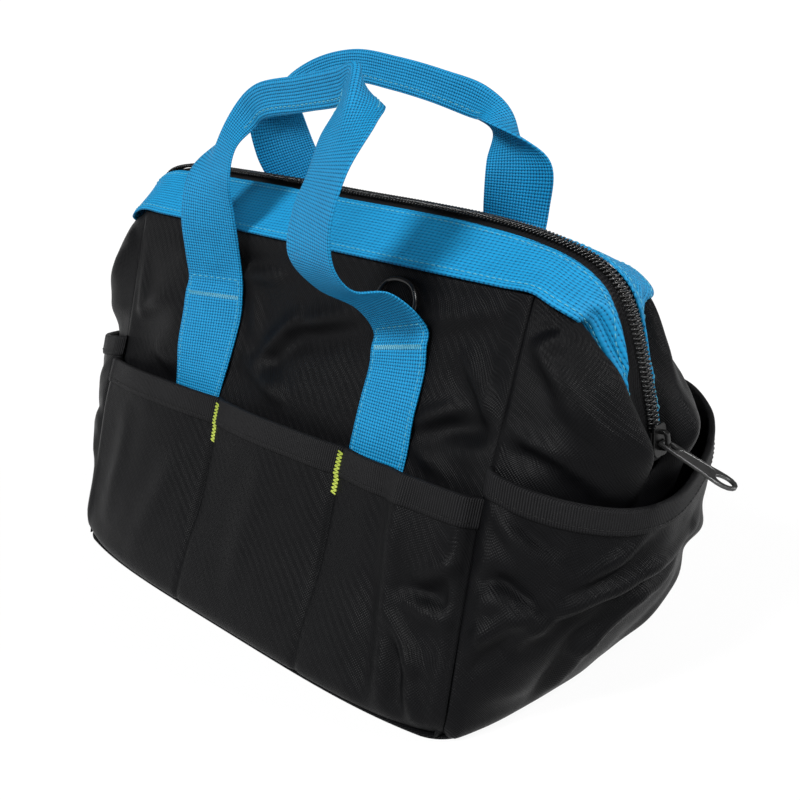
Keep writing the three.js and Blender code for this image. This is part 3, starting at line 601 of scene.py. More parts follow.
# %% Creases of the long walls
FRONT_WALL_FOLDS = table(
    CREASE,
    (-34, 142, 4, 180, 6, 2.6), (-14, 168, 54, 188, 6, 2.8), (8, 130, -46, 144, 5, 2.4),
    (-16, 195, -60, 189, 5, 2.2), (-46, 188, -36, 150, 6, 1.2), (-30, 210, 40, 206, 6, 1.2),
    (166, 216, 92, 191, 7, 2.6), (126, 185, 160, 146, 6, 2.8), (100, 141, 136, 160, 5, 2.4),
    (118, 141, 160, 151, 5, -2.0), (102, 134, 136, 120, 5, 2.2), (-158, 200, -140, 150, 6, 1.6),
    (-156, 152, -104, 172, 6, 1.8), (-120, 140, -96, 126, 6, 1.2),
    (-97, 90, -97, 228, 26, 4.8))
BACK_WALL_FOLDS = table(
    CREASE,
    (52, 200, 20, 138, 8, 1.9), (-56, 190, 0, 134, 7, 1.8), (-106, 200, -146, 140, 8, 1.8),
    (104, 196, 146, 150, 7, 1.5), (112, 150, 140, 126, 6, 1.3))
WALL_FOLDS = {-1: FRONT_WALL_FOLDS, 1: BACK_WALL_FOLDS}
WALL_FOLD_GAIN = 1.7
WALL_LUMPS = ((34, 1.3, 7), (15, 0.45, 17))
DENTS_FADE = {"in": (RIM_Z - 20, RIM_Z + 25), "out": (200, 222)}
FOLDS_FADE = {"in": (RIM_Z - 6, RIM_Z + 16), "out": (196, 214), "seam": (0, 14)}


def wall_dent(x, z, side):
    """How far the cloth lies in from the plain wall: broad hollows, creases and lumps."""
    total = 0
    for dent_x, dent_z, spread_x, spread_z, depth in columns(DENTS, *DENTS):
        far = ((x - dent_x) / spread_x) ** 2 + ((z - dent_z) / spread_z) ** 2
        total = total + depth * np.exp(-far)
    total = total * ramp(*DENTS_FADE["in"], z) * (1 - ramp(*DENTS_FADE["out"], z))
    free = ramp(*FOLDS_FADE["in"], z) * (1 - ramp(*FOLDS_FADE["out"], z))
    free = free * ramp(*FOLDS_FADE["seam"], seam_at(z) - np.abs(x))
    folds = WALL_FOLD_GAIN * creases(x, z, WALL_FOLDS[side])
    return total - free * (folds + lumpy(x, z, WALL_LUMPS, side))


def wall_point(x, z, side=-1):
    """A point of the front wall (side -1) or the back wall (side 1)."""
    x, z = np.broadcast_arrays(x, z)
    return np.stack([x, side * (wall_depth(x, z) - wall_dent(x, z, side)), z], axis=-1)


WALL_LEAN = 0.3


def wall_out(side):
    """The way that a long wall faces, about the same all over it."""
    return np.array([0, side * math.cos(WALL_LEAN), math.sin(WALL_LEAN)])


# %% Front and back panels
CLOTH_TOP_Z = 213
TOP_STRIP = {"z": (214, 220), "from": 118, "to": 158, "least": 0.05}
BAND_LINE_Z = 215


def panel(name, side):
    cloth_z = np.linspace(FOOT_Z, CLOTH_TOP_Z, 88)
    z = np.concatenate([cloth_z, np.linspace(*TOP_STRIP["z"], 7)])[:, None]
    x = np.linspace(-1, 1, 151) * (seam_at(z) - GAP / 2)
    strip = 1 - ramp(TOP_STRIP["from"], TOP_STRIP["to"], np.abs(x))
    part = TOP_STRIP["least"] + (1 - TOP_STRIP["least"]) * strip
    height = np.minimum(z, BAND_LINE_Z) + part * np.maximum(0, z - BAND_LINE_Z)
    grid = wall_point(x, height, side)
    if side > 0:
        grid = grid[:, ::-1]
    return dress(build(name, shell(sheet(grid), 0, -CLOTH), black_cloth), "black_cloth", name)


panel("front_panel", -1)
panel("back_panel", 1)

# %% [markdown]
# ## The bulging ends
# Each end is one piece of cloth that folds out beside the zip and meets the long walls at a corner
# seam. Half of it is a row of curves from the seam over a ridge to the middle, and the other half
# is turned over and sewn to it below the zip. The left end is the right one turned over, with
# weaker folds, and only on the right is the back half drawn in flatter than the front half.

# %% Shape of the ends
END_ROWS = table(
    "seam swell rx ry rz ix iy iz",
    (2.9, 1, 171.5, 52, 2.9, 173, 0, 2.9), (30, 4, 179, 47, 30, 181, 0, 30),
    (70, 5, 191, 37, 68, 195, 0, 66), (105, 6, 202, 29, 100, 204, 0, 97),
    (133, 8, 210.5, 22, 126, 206, 0, 123.5), (150, 12, 219, 20, 146, 206.5, 8.6, 134),
    (170, 13, 212.5, 23, 164, 202.5, 9.6, 152), (188, 10, 203, 26, 182, 194, 12, 171),
    (204, 5, 192.5, 28.5, 196, 183.5, 16, 188), (216.6, 0, 180.5, 30.2, 206.8, 177.5, 24, 203.8))
SLIT = 4 / 9
BACK_HALF = {"drawn_in": 6, "swell": 0.4, "from": SLIT + 0.1, "full": SLIT + 0.3, "ends": 0.8}
PANEL_FREE = {"seam": (0, 16), "middle": (0, 14), "foot": (0.02, 0.2), "top": (0.9, 1)}
END_LUMPS = ((26, 1.0, 31),)
HALVES_APART = 300
END_FOLDS = table(
    CREASE,
    (2, 202, 18, 213, 4, -1.8), (0, 204, 32, 181, 5, 2.2), (18, 192, 56, 156, 6, 2.0),
    (-2, 159, 36, 148, 4.5, 2.4), (24, 160, 60, 128, 6, 1.6), (8, 128, 44, 70, 7, 1.4))


def end_half(side, share, flat_back):
    """Half an end panel, from its seam to its middle, on the side of -y or +y, and its folds."""
    t = np.linspace(0, 1, 109)
    seam_z = END_ROWS["seam"]
    seams = np.stack([seam_at(seam_z), GAP / 2 - depth_at(seam_z), seam_z], axis=-1)
    seam = spline(seams, t)
    ridge = spline(columns(END_ROWS, "rx", "ry", "rz") * (1, -1, 1), t)
    flatter = ramp(BACK_HALF["from"], BACK_HALF["full"], t) * (flat_back if side > 0 else 0)
    ridge[:, 0] -= BACK_HALF["drawn_in"] * flatter * (1 - ramp(BACK_HALF["ends"], 1, t))
    inner = spline(columns(END_ROWS, "ix", "iy", "iz") * (1, -1, 1), t)
    inner[t <= SLIT + 1e-6, 1] = 0
    swell = spline(np.stack([END_ROWS["swell"], 0 * seam_z, seam_z], axis=-1), t)[:, :1]
    across = np.stack([seam[:, 1] - ridge[:, 1], ridge[:, 0] - seam[:, 0], 0 * t], axis=-1)
    swell = swell * (1 + (BACK_HALF["swell"] - 1) * flatter[:, None])
    flank = (seam + ridge) / 2 - unit(across) * swell
    u = np.linspace(0, 1, 45)
    grid = np.array([spline([seam[k], flank[k], ridge[k], inner[k]], u) for k in range(len(t))])
    away = arcs(grid, 1)
    up = arcs(grid, 0)
    free = ramp(*PANEL_FREE["seam"], away) * ramp(*PANEL_FREE["middle"], away[:, -1:] - away)
    free = free * ramp(*PANEL_FREE["foot"], t)[:, None]
    free = free * (1 - ramp(*PANEL_FREE["top"], t))[:, None]
    folds = creases(away, up, END_FOLDS) + lumpy(away + HALVES_APART * side, up, END_LUMPS)
    grid = grid + grid_normals(grid) * (share * free * folds)[..., None]
    flat = np.stack([away - away[:, -1:], up], axis=-1)
    if side > 0:
        grid = (grid * (1, -1, 1))[:, ::-1]
        flat = (flat * (-1, 1))[:, ::-1]
    return sheet(grid, flat)


def mirrored(shape):
    """The same shape at the other end of the bag."""
    points, faces, flat = shape
    return points * (-1, 1, 1), [face[::-1] for face in faces], flat


def end_panel(fold_share, flat_back):
    halves = [end_half(side, fold_share, flat_back) for side in (-1, 1)]
    return shell(sew(*halves), 0, -CLOTH)


right_end = end_panel(fold_share=1.7, flat_back=1)
left_end = mirrored(end_panel(fold_share=0.4, flat_back=0))
dress(build("end_panel_right", right_end, black_cloth), "black_cloth", "end_panel_right")
dress(build("end_panel_left", left_end, black_cloth), "black_cloth", "end_panel_left")

# %% [markdown]
# ## The base
# The bottom is a board wrapped in cloth. It is a flat plate whose edge is turned up in a small
# round, made from rings of the same outline set in by different amounts.

# %% Base
CORNER_CUT = 13
BASE_EDGE_ANGLE = 50
BASE_RINGS = table("inset z", (5.2, 0), (3.4, 0.25), (2.4, 1.0), (2.3, 1.7), (3.2, 2.3), (5, 2.5))


def base_outline(inset):
    t = np.linspace(-1, 1, 61)
    x = t * (LENGTH / 2 - CORNER_CUT)
    y = t * (DEPTH / 2 - CORNER_CUT)
    front = np.stack([x, inset - foot_y(x)], axis=-1)
    right = np.stack([foot_x(y) - inset, y], axis=-1)
    f = np.linspace(0, 1, 9)[1:-1, None]
    corner = np.array([LENGTH / 2 - inset, inset - DEPTH / 2])
    near = front[-1] * (1 - f) ** 2 + corner * 2 * f * (1 - f) + right[0] * f**2
    far = near[::-1] * (1, -1)
    return np.vstack([front, near, right, far, -front, -near, -right, -far])


count = len(base_outline(0))
rings = [np.column_stack([base_outline(inset), np.full(count, z)])
         for inset, z in columns(BASE_RINGS, "inset", "z")]
k = np.arange(len(rings) * count).reshape(len(rings), count)
turn = np.roll(k, -1, axis=1)
faces = np.stack([k[:-1], turn[:-1], turn[1:], k[1:]], axis=-1).reshape(-1, 4).tolist()
faces += [k[0][::-1].tolist(), k[-1].tolist()]
points = np.vstack(rings)
board = build("base_panel", (points, faces, points[:, :2]), black_cloth, BASE_EDGE_ANGLE)
dress(board, "black_cloth", "base_panel")

# %% [markdown]
# ## The long pockets
# One panel of cloth runs along each side, sewn down at two dividers, so it swells into three
# pockets that gape at the rim. Towards the corner seams the cloth dives in, which leaves the tight
# dark groove of a sewn corner. Creases run down from the dividers, where the thread pulls.

# %% Shape of the long pockets
DIVIDERS = (-41, 67)
POCKET_GAPE = 9.2
POCKET_FULLNESS = 0.45
RIM_STAND_OFF = 3.9
SEAM_STAND_OFF = 0.9
BIND_HEIGHT = 14
SEAM_DIVE = 6
FRONT_POCKET_FOLDS = table(
    CREASE,
    (115, 132, 121, 44, 6, 2.2), (119, 74, 131, -6, 6, 2.2), (118, 65, 184, 77, 6, -1.5),
    (132, 74, 176, 100, 4, 2.2), (160, 60, 124, 64, 4, 1.6), (125, 56, 147, 30, 4, 2.2),
    (138, 45, 154, -6, 4, 2.4),
    (-120, 100, -134, 20, 8, 1.0), (14, 100, 2, 20, 9, 0.9), (-60, 90, -90, 30, 9, 0.9))
BACK_POCKET_FOLDS = table(
    CREASE,
    (112, 108, 128, 36, 7, 1.6), (-112, 100, -130, 24, 7, 1.5), (-128, 84, -160, 60, 6, 1.8),
    (14, 100, 2, 20, 9, 1.0))
POCKET_FOLDS = {-1: FRONT_POCKET_FOLDS, 1: BACK_POCKET_FOLDS}
DIVIDER_GROOVE = {"wide": 2.2, "deep": 1.1, "fade": (80, 104)}
RIM_RISE_FROM = 50
SEAM_OUT = 0.3
SEAM_BEAD = {"wide": 3, "high": 0.7, "fade": (0, 20)}
POCKET_FREE = {"foot": (0, 22), "seam": (3, 9)}
POCKET_FOLD_GAIN = 1.6
POCKET_LUMPS = ((30, 0.9, 43), (13, 0.3, 53))
SEWN_STAND_OFF = 0.2


def stand_off(x, z):
    """How far the inner face of a long pocket stands off the wall."""
    half = seam_at(z)
    low = np.where(x < DIVIDERS[0], -half, np.where(x < DIVIDERS[1], DIVIDERS[0], DIVIDERS[1]))
    high = np.where(x < DIVIDERS[0], DIVIDERS[0], np.where(x < DIVIDERS[1], DIVIDERS[1], half))
    part = np.clip((x - low) / (high - low), 0, 1)
    swell = POCKET_GAPE * np.maximum(0, np.sin(np.pi * part)) ** POCKET_FULLNESS * ramp(0, RIM_Z, z)
    rise = ramp(RIM_RISE_FROM, RIM_Z - BIND_HEIGHT, z)
    return SEAM_STAND_OFF + (RIM_STAND_OFF - SEAM_STAND_OFF) * rise + swell


def pocket_grid(side):
    """The inner face of a long pocket. The back pocket is the front one turned half round."""
    z = np.linspace(FOOT_Z, RIM_Z, 72)[:, None]
    x = np.linspace(-1, 1, 175) * (seam_at(z) + SEAM_OUT)
    edge = seam_at(z) + SEAM_OUT - np.abs(x)
    off = stand_off(x, z)
    free = ramp(*POCKET_FREE["foot"], z) * ramp(*POCKET_FREE["seam"], edge)
    off = off + POCKET_FOLD_GAIN * free * creases(x, z, POCKET_FOLDS[side])
    off = off + free * lumpy(x, z, POCKET_LUMPS, side)
    bead = np.exp(-((edge - SEAM_DIVE) / SEAM_BEAD["wide"]) ** 2)
    off = off + bead * SEAM_BEAD["high"] * ramp(*SEAM_BEAD["fade"], z)
    for divider in DIVIDERS:
        groove = np.exp(-((x - divider) / DIVIDER_GROOVE["wide"]) ** 2)
        off = off - DIVIDER_GROOVE["deep"] * groove * (1 - ramp(*DIVIDER_GROOVE["fade"], z))
    dive = ramp(0, SEAM_DIVE, edge)
    off = off * dive + SEWN_STAND_OFF * (1 - dive)
    wall = np.stack(np.broadcast_arrays(x, -wall_depth(x, z), z), axis=-1)
    grid = wall + wall_out(-1) * off[..., None]
    return grid if side < 0 else grid * (-1, -1, 1)


# %% [markdown]
# ## Bound rims
# The raw rim of every pocket is wrapped in ribbed tape. The tape goes up the outside, over the rim
# and down the inside, so it can be made as one sheet of its own: points at steps below the rim on
# one face, a half round over the top, and the same steps on the other face.

# %% Binding along a rim
BINDING = 1.0
TAPE_SLACK = 0.25
TAPE_EDGE = 0.3
CROWN_SQUASH = 0.8


def below_rim(grid, steps):
    """Points of a grid at some lengths below its last row, with their normals."""
    n = grid_normals(grid)
    fall = arcs(grid[::-1], 0)
    places = np.empty((len(steps), grid.shape[1], 3))
    facing = np.empty_like(places)
    for j in range(grid.shape[1]):
        places[:, j] = at_lengths(grid[::-1, j], fall[:, j], steps)
        facing[:, j] = at_lengths(n[::-1, j], fall[:, j], steps)
    return places, unit(facing)


def bind(grid, height):
    """Tape folded over the rim of a pocket, as a grid: outside, over the top, inside."""
    steps = np.linspace(height, TAPE_EDGE, 9)
    face, n = below_rim(grid, steps)
    up = unit(grid[-1] - grid[-3])
    reach = POCKET_CLOTH / 2 + TAPE_SLACK + BINDING / 2
    outside = face + n * (POCKET_CLOTH / 2 + reach)
    inside = face + n * (POCKET_CLOTH / 2 - reach)
    crown = [grid[-1] + n[-1] * (POCKET_CLOTH / 2 + reach * math.cos(a))
             + up * (TAPE_SLACK + reach * CROWN_SQUASH * math.sin(a)) for a in np.linspace(0, np.pi, 9)]
    return np.concatenate([outside, np.array(crown)[1:-1], inside[::-1]])


def bound_pocket(pocket, binding, grid, height, other_end=False):
    """A pocket's cloth wall and the tape on its rim."""
    wall = shell(sheet(grid), POCKET_CLOTH, 0)
    tape = shell(sheet(bind(grid, height)), BINDING / 2, -BINDING / 2)
    if other_end:
        wall, tape = mirrored(wall), mirrored(tape)
    dress(build(pocket, wall, black_cloth), "black_cloth", pocket)
    dress(build(binding, tape, ribbed_tape), "ribbed_tape", binding)


front_grid = pocket_grid(-1)
back_grid = pocket_grid(1)
bound_pocket("front_pocket", "front_binding", front_grid, BIND_HEIGHT)
bound_pocket("back_pocket", "back_binding", back_grid, BIND_HEIGHT)

# %% [markdown]
# ## The end pockets
# The pocket on each end hangs open: it rises from the foot of the end to a rim that swings wide of
# the bag. Its cloth buckles into long slanting creases, which the camera sees best on the right.

# %% Shape of the end pockets
END_RIM = table(
    "x y z",
    (158.2, -64.5, 133.5), (176, -62, 129.5), (198, -49.5, 124), (214.5, -26, 118.5),
    (219, 2, 116.5), (215, 31, 120), (207.5, 57, 128), (196, 74, 137.5), (180, 79, 147),
    (166, 71, 152), (158.6, 59.5, 150))
END_POCKET_SWELL = 15
END_POCKET_SPREAD = 1.9
END_BIND_HEIGHT = 11.5
END_POCKET_WIDE = 230
END_POCKET_HIGH = 130
END_SEAM_PART = 0.03
END_FOOT = {"in": 2.5, "out": 1.2}
END_SEAM = {"in": 0.3, "out": 0.5}
END_FREE = {"seam": (0.01, 0.045), "foot": (0, 0.18), "rim": (0.8, 0.95)}
END_POCKET_LUMPS = ((30, 1.2, 61), (13, 0.4, 67))
END_FULLNESS = 0.6
END_POCKET_FOLDS = table(
    CREASE,
    (38, 95, 2, 123, 5, 2.4), (-30, 70, 32, 88, 5, -2.0), (8, 90, 56, 66, 5, -2.2),
    (-30, 28, 52, 84, 6, 2.6), (48, 88, 86, 124, 4, 2.2), (26, 50, 64, 90, 4.5, 2.6),
    (50, 78, 94, 99, 4.5, 2.6), (78, 96, 134, 92, 5, 2.4), (69, 64, 61, 4, 4.5, 2.4),
    (90, 87, 62, 44, 4.5, 2.4), (126, 84, 78, 78, 5, 2.2), (100, 30, 150, 60, 7, 2.2),
    (120, 96, 176, 60, 7, 2.2),
    (160, 110, 200, 40, 8, 2.2), (180, 60, 216, 30, 6, 1.8))


def end_pocket_grid(fold_share):
    u = np.linspace(0, 1, 141)
    t = np.linspace(0, 1, 91)[:, None]
    y = (2 * u - 1) * (DEPTH / 2 - END_FOOT["in"])
    feet = np.stack([foot_x(y) + END_FOOT["out"], y, np.full_like(y, FOOT_Z)], axis=-1)
    rims = spline(columns(END_RIM, "x", "y", "z"), u)
    grid = feet + (rims - feet) * t[..., None]
    swell = END_POCKET_SWELL * np.sin(np.pi * t) * np.sin(np.pi * u) ** END_FULLNESS
    curl = foot_curl(grid[..., 2])
    way = (u - 0.5) * END_POCKET_SPREAD
    grid[..., 0] += swell * np.cos(way) - curl
    grid[..., 1] += swell * np.sin(way)
    across = np.broadcast_to(u * END_POCKET_WIDE, swell.shape)
    up = np.broadcast_to(t * END_POCKET_HIGH, swell.shape)
    edge = np.minimum(u, 1 - u)
    free = ramp(*END_FREE["seam"], edge) * ramp(*END_FREE["foot"], t) * (1 - ramp(*END_FREE["rim"], t))
    folds = creases(across, up, END_POCKET_FOLDS) + lumpy(across, up, END_POCKET_LUMPS)
    grid = grid + grid_normals(grid) * (fold_share * free * folds)[..., None]
    side = np.where(u < 0.5, -1, 1)
    z = grid[..., 2]
    sewn_y = wall_depth(seam_at(z), z) - END_SEAM["in"]
    corner = np.stack(np.broadcast_arrays(seam_at(z) + END_SEAM["out"], side * sewn_y, z), axis=-1)
    dive = (1 - ramp(0, END_SEAM_PART, edge))[None, :, None]
    return grid + (corner - grid) * dive


right_grid = end_pocket_grid(fold_share=1.6)
left_grid = end_pocket_grid(fold_share=0.5)
bound_pocket("end_pocket_right", "end_binding_right", right_grid, END_BIND_HEIGHT)
bound_pocket("end_pocket_left", "end_binding_left", left_grid, END_BIND_HEIGHT, other_end=True)

# %% [markdown]
# ## The mouth: bands, zip tape and coil
# Two bands of webbing and two strips of zip tape follow one line along the mouth, over both ends
# and down into the folds. A table gives that line on the middle plane and the outer edge of the
# bands. The coil is real wire: two helices that reach just past the middle and lock together.

# %% Lines of the mouth
MOUTH = table(
    "zx zz ox oy oz",
    (-208.6, 134, -208.3, 8, 134), (-206, 152, -203.6, 9.2, 152),
    (-202.5, 171, -195.4, 11.6, 171.3), (-198, 191, -184.9, 15.6, 189),
    (-193, 212, -179.3, 23.6, 205), (-187, 225, -180.3, 30.8, 207.6),
    (-178, 234, -171, 36, 213), (-163, 239, -160, 36.6, 217), (-140, 240.5, -140, 36.5, 217),
    (-105, 241, -105, 36.5, 217), (-50, 241, -50, 36.5, 217), (5, 240, 5, 36.5, 217),
    (60, 239.5, 60, 36.5, 217), (105, 238, 106, 36.5, 217), (138, 234.5, 142, 36.5, 217),
    (158, 230, 160, 36.6, 217), (170, 225.5, 171, 36, 213), (180, 218.5, 180.3, 30.8, 207.6),
    (188, 208, 179.3, 23.6, 205), (195.5, 190, 184.9, 15.6, 189),
    (201.3, 171, 195.4, 11.6, 171.3), (206, 152, 203.6, 9.2, 152), (208.6, 134, 208.3, 8, 134))
BAND_EDGE_Y = 6.9
BAND_SINK = 0.8
WEBBING = 1.6
TAPE_THICK = 0.9
TAPE_GAP = 0.3
TAPE_UNDER_BAND = 0.2
BAND_INSET = 2.2
BAND_OVERHANG = 2.5
BAND_ENDS_Z = {"full": 190, "gone": 160}
BAND_DRAWN_BACK = 0.85
BAND_LOW = GAP + 0.1
BAND_LUMPS = ((24, 0.9, 71),)
PLEATS = {"across": 0.62, "along": 0.01, "high": 1.1, "narrow": (18, 30)}
TAPE_REACH = {"past_band": 0.1, "most": 0.92}
MOUTH_STEPS = 331


def mouth_lines(t, side):
    """The zip line, the inner edge and the outer edge of a band, on the side of -y or +y."""
    middle = spline(np.stack([MOUTH["zx"], 0 * MOUTH["zx"], MOUTH["zz"]], axis=-1), t)
    outer = spline(columns(MOUTH, "ox", "oy", "oz") * (1, -1, 1), t) * (1, -side, 1)
    inner = middle + (0, side * BAND_EDGE_Y, -BAND_SINK)
    return middle, inner, outer


def band_share(middle, inner, outer):
    """How far the inner edge of a band draws back, a little on top and wholly at the ends."""
    gone = 1 - ramp(BAND_ENDS_Z["gone"], BAND_ENDS_Z["full"], middle[:, 2])
    wide = np.linalg.norm(inner - outer, axis=1)
    return np.minimum(BAND_DRAWN_BACK, np.maximum(BAND_INSET / wide, BAND_DRAWN_BACK * gone))[:, None]


# %% Bands and zip tapes
def band_grid(side):
    t = np.linspace(0, 1, MOUTH_STEPS)
    w = np.linspace(0, 1, 21)[:, None, None]
    middle, inner, outer = mouth_lines(t, side)
    outer = outer + unit(outer - inner) * BAND_OVERHANG
    inner = inner + (outer - inner) * band_share(middle, inner, outer)
    grid = outer + (inner - outer) * w
    along = np.broadcast_to(arcs(inner[None], 1), grid.shape[:2])
    wide = np.linalg.norm(inner - outer, axis=1)
    across = w[..., 0] * wide
    hold = np.sin(np.pi * w[..., 0])
    tight = 1 - ramp(*PLEATS["narrow"], wide)
    waves = lumpy(along, across, BAND_LUMPS, side) * hold
    pleats = np.sin(across * PLEATS["across"] + along * PLEATS["along"]) * PLEATS["high"] * tight * hold
    if side > 0:
        grid = grid[:, ::-1]
        waves, pleats, along = waves[:, ::-1], pleats[:, ::-1], along[:, ::-1]
        across = across[:, ::-1]
    grid = grid + grid_normals(grid) * (waves + pleats)[..., None]
    return grid, np.stack([across, along], axis=-1)


def zip_tape_grid(side):
    t = np.linspace(0, 1, MOUTH_STEPS)
    w = np.linspace(0, 1, 8)[:, None, None]
    middle, inner, outer = mouth_lines(t, side)
    past = band_share(middle, inner, outer) + TAPE_REACH["past_band"]
    reach = np.maximum(TAPE_UNDER_BAND, np.minimum(TAPE_REACH["most"], past))
    under = inner + (outer - inner) * reach
    grid = under + (middle + (0, side * TAPE_GAP, 0) - under) * w
    return grid[:, ::-1] if side > 0 else grid


band_grids = {}
for name, side in (("front", -1), ("back", 1)):
    band_grids[name], flat = band_grid(side)
    band = shell(sheet(band_grids[name], flat), BAND_LOW + WEBBING, BAND_LOW)
    dress(build(f"mouth_band_{name}", band, blue_band), "blue_webbing", f"mouth_band_{name}")
    tape = shell(sheet(zip_tape_grid(side)), 0, -TAPE_THICK)
    dress(build(f"zipper_tape_{name}", tape, zip_tape), "zip_tape", f"zipper_tape_{name}")

# %% Coil
COIL_PITCH = 2.3
COIL_WIRE = 0.5
COIL_OUTER = 5.0
COIL_CROSSING = 0.6
COIL_HEIGHT = 2.4
COIL_PART = (0.02, 0.968)
POINTS_PER_TURN = 12

t = np.linspace(*COIL_PART, 1200)
zip_line = mouth_lines(t, -1)[0]
long = arcs(zip_line[None], 1)[0]
turns = int(long[-1] / COIL_PITCH) - 1
angle = np.linspace(0, 2 * np.pi * turns, turns * POINTS_PER_TURN + 1)
coils = []
for side in (-1, 1):
    place = (angle / (2 * np.pi) + (0.5 if side > 0 else 0)) * COIL_PITCH
    base = at_lengths(zip_line, long, place)
    ahead = unit(np.gradient(base, axis=0))
    out = np.stack([-ahead[:, 2], 0 * place, ahead[:, 0]], axis=-1)
    reach = (COIL_OUTER - COIL_WIRE + COIL_CROSSING) / 2
    swing = (COIL_OUTER - COIL_WIRE - COIL_CROSSING) / 2 + reach * np.cos(angle)
    lift = GAP + COIL_HEIGHT / 2 + (COIL_HEIGHT / 2 - COIL_WIRE) * np.sin(angle)
    path = base + out * lift[:, None] + np.outer(side * swing, (0, 1, 0))
    coils.append(tube(path, ahead, COIL_WIRE, sides=6))
dress(build("zipper_chain", merge(coils), zip_coil), "zip_coil", "zipper_chain")

# %% [markdown]
# ## The handles
# Each handle is one length of webbing. Its feet are sewn flat to the wall, it rises free, folds
# lengthwise at the grip so that two layers lie together, and comes down again. A table gives the
# crest, the way the outer face looks and how far it is folded, at a few places along the loop.

# %% Shape of the handles
STRAP_WIDTH = 39
STRAP_X = {"left": -71.5, "right": 84.5}
STRAP_SLANT = 5
FOLD_RADIUS = 1.6
TOP_LIFT = 0.8
STRAP_OFF = 2 * GAP + WEBBING / 2
FEET = (88, 105, 125, 145, 165, 176, 184)
HANDLE_ROWS = 261
FRONT_LOOP = table(
    "x y z nx ny nz fold",
    (-71, -50, 200, 0.35, -1, 0.1, 0), (-69.5, -53, 226, 0.28, -1, 0, 0),
    (-67.5, -51, 250, -0.05, -1, 0.15, 0), (-65, -44, 271.5, -0.5, -0.8, 0.4, 0.3),
    (-54.5, -38, 290.2, -0.6, -0.45, 0.7, 0.75), (-38, -37.5, 300.5, -0.35, 0, 0.95, 1),
    (2.5, -40, 307.2, -0.15, 0, 1, 1), (40, -46, 313.5, -0.1, 0, 1, 1),
    (56, -50, 316, 0.45, 0, 0.9, 0.9), (65, -60, 307.3, 0.35, -0.6, 0.6, 0.6),
    (72.4, -74.5, 288.7, -0.05, -0.95, 0.3, 0.1), (74.6, -88, 268.6, -0.28, -0.95, 0.2, 0),
    (70.5, -95, 246, -0.25, -0.95, 0, 0), (68.5, -94, 226, -0.12, -0.85, -0.45, 0),
    (71, -81, 210.5, 0, -0.55, -0.85, 0), (80, -63.6, 203, 0.3, -0.4, -0.9, 0))
BACK_LOOP = table(
    "x y z nx ny nz fold",
    (-90, 51, 205, -0.15, 1, 0.1, 0), (-98, 44, 232, -0.5, 0.9, 0.1, 0),
    (-105, 37, 256, -0.7, 0.75, 0.2, 0.05), (-108, 35, 276, -0.75, 0.6, 0.35, 0.35),
    (-102, 36, 294, -0.65, 0.2, 0.7, 0.85), (-78, 38.5, 309, -0.35, 0.1, 0.95, 1),
    (-40, 41, 317, -0.1, 0.2, 1, 1), (-6, 44, 313.5, 0.1, 0.25, 1, 1),
    (26, 47, 307.5, 0.2, 0.25, 1, 1), (57, 49, 299.5, 0.4, 0.1, 0.9, 0.95),
    (75, 50, 286, 0.6, 0.55, 0.55, 0.55), (81, 50, 262, -0.2, 1, 0.1, 0.08),
    (79, 51, 236, -0.35, 1, 0, 0), (75, 51, 207, 0, 1, 0.1, 0))
FOOT_LEANS_Z = (145, 184)
FOOT_LIFTS_Z = 170
GRIP_PRESS = {"share": 0.42, "from_crest": (2, 10)}
CROWDED = 0.65
spread = np.linspace(-1, 1, 37)
crowd = (1 - CROWDED) * np.abs(spread) + CROWDED * spread**2
STRAP_COLUMNS = np.sign(spread) * STRAP_WIDTH / 2 * crowd


def sewn(x, z, way, lift, side, slant=0):
    """A row across a foot that is sewn flat to the wall. A slant lifts its right edge."""
    rise = slant * ramp(*FOOT_LEANS_Z, z) * STRAP_COLUMNS * way / (STRAP_WIDTH / 2)
    row = wall_point(x + STRAP_COLUMNS * way, z + rise, side)
    row = row + wall_out(side) * (STRAP_OFF + lift * (TOP_LIFT if z > FOOT_LIFTS_Z else 0))
    return row if side < 0 else row[::-1]


def free_rows(loop):
    """Rows across the free loop, folded lengthwise by their share."""
    crest = columns(loop, "x", "y", "z")
    t = np.linspace(0, 1, len(crest))
    step = 1e-4
    tangent = unit(spline(crest, np.minimum(t + step, 1)) - spline(crest, np.maximum(t - step, 0)))
    across = unit(np.cross(tangent, columns(loop, "nx", "ny", "nz")))
    out = unit(np.cross(across, tangent))
    turn = (loop["fold"] * np.pi / 2)[:, None]
    quarter = FOLD_RADIUS * np.pi / 2
    arc = np.minimum(np.abs(STRAP_COLUMNS), quarter)
    rest = np.abs(STRAP_COLUMNS) - arc
    bend = np.maximum(turn * arc / quarter, 1e-6)
    reach = arc * np.sin(bend) / bend + rest * np.cos(turn)
    drop = arc * (1 - np.cos(bend)) / bend + rest * np.sin(turn)
    pressed = loop["fold"][:, None] ** 3 * ramp(*GRIP_PRESS["from_crest"], np.abs(STRAP_COLUMNS))
    press = 1 - GRIP_PRESS["share"] * pressed
    sideways = np.sign(STRAP_COLUMNS) * reach * press
    return crest[:, None] + across[:, None] * sideways[..., None] - out[:, None] * drop[..., None]


def handle_grid(loop, left_x, right_x, right_lift, slant, side):
    left = [sewn(left_x, z, 1, 1, side) for z in FEET]
    right = [sewn(right_x, z, -1, right_lift, side, slant) for z in FEET[::-1]]
    keys = np.concatenate([left, free_rows(loop), right])
    t = np.linspace(0, 1, HANDLE_ROWS)
    return np.stack([spline(keys[:, j], t) for j in range(keys.shape[1])], axis=1)


# %% Front and back handles
def handle(name, grid):
    middle = len(STRAP_COLUMNS) // 2
    along = arcs(grid[:, middle:middle + 1], 0)
    flat = np.stack(np.broadcast_arrays(STRAP_COLUMNS[None], along), axis=-1)
    wall = shell(sheet(grid, flat), WEBBING / 2, -WEBBING / 2)
    return dress(build(name, wall, blue_webbing), "blue_webbing", name)


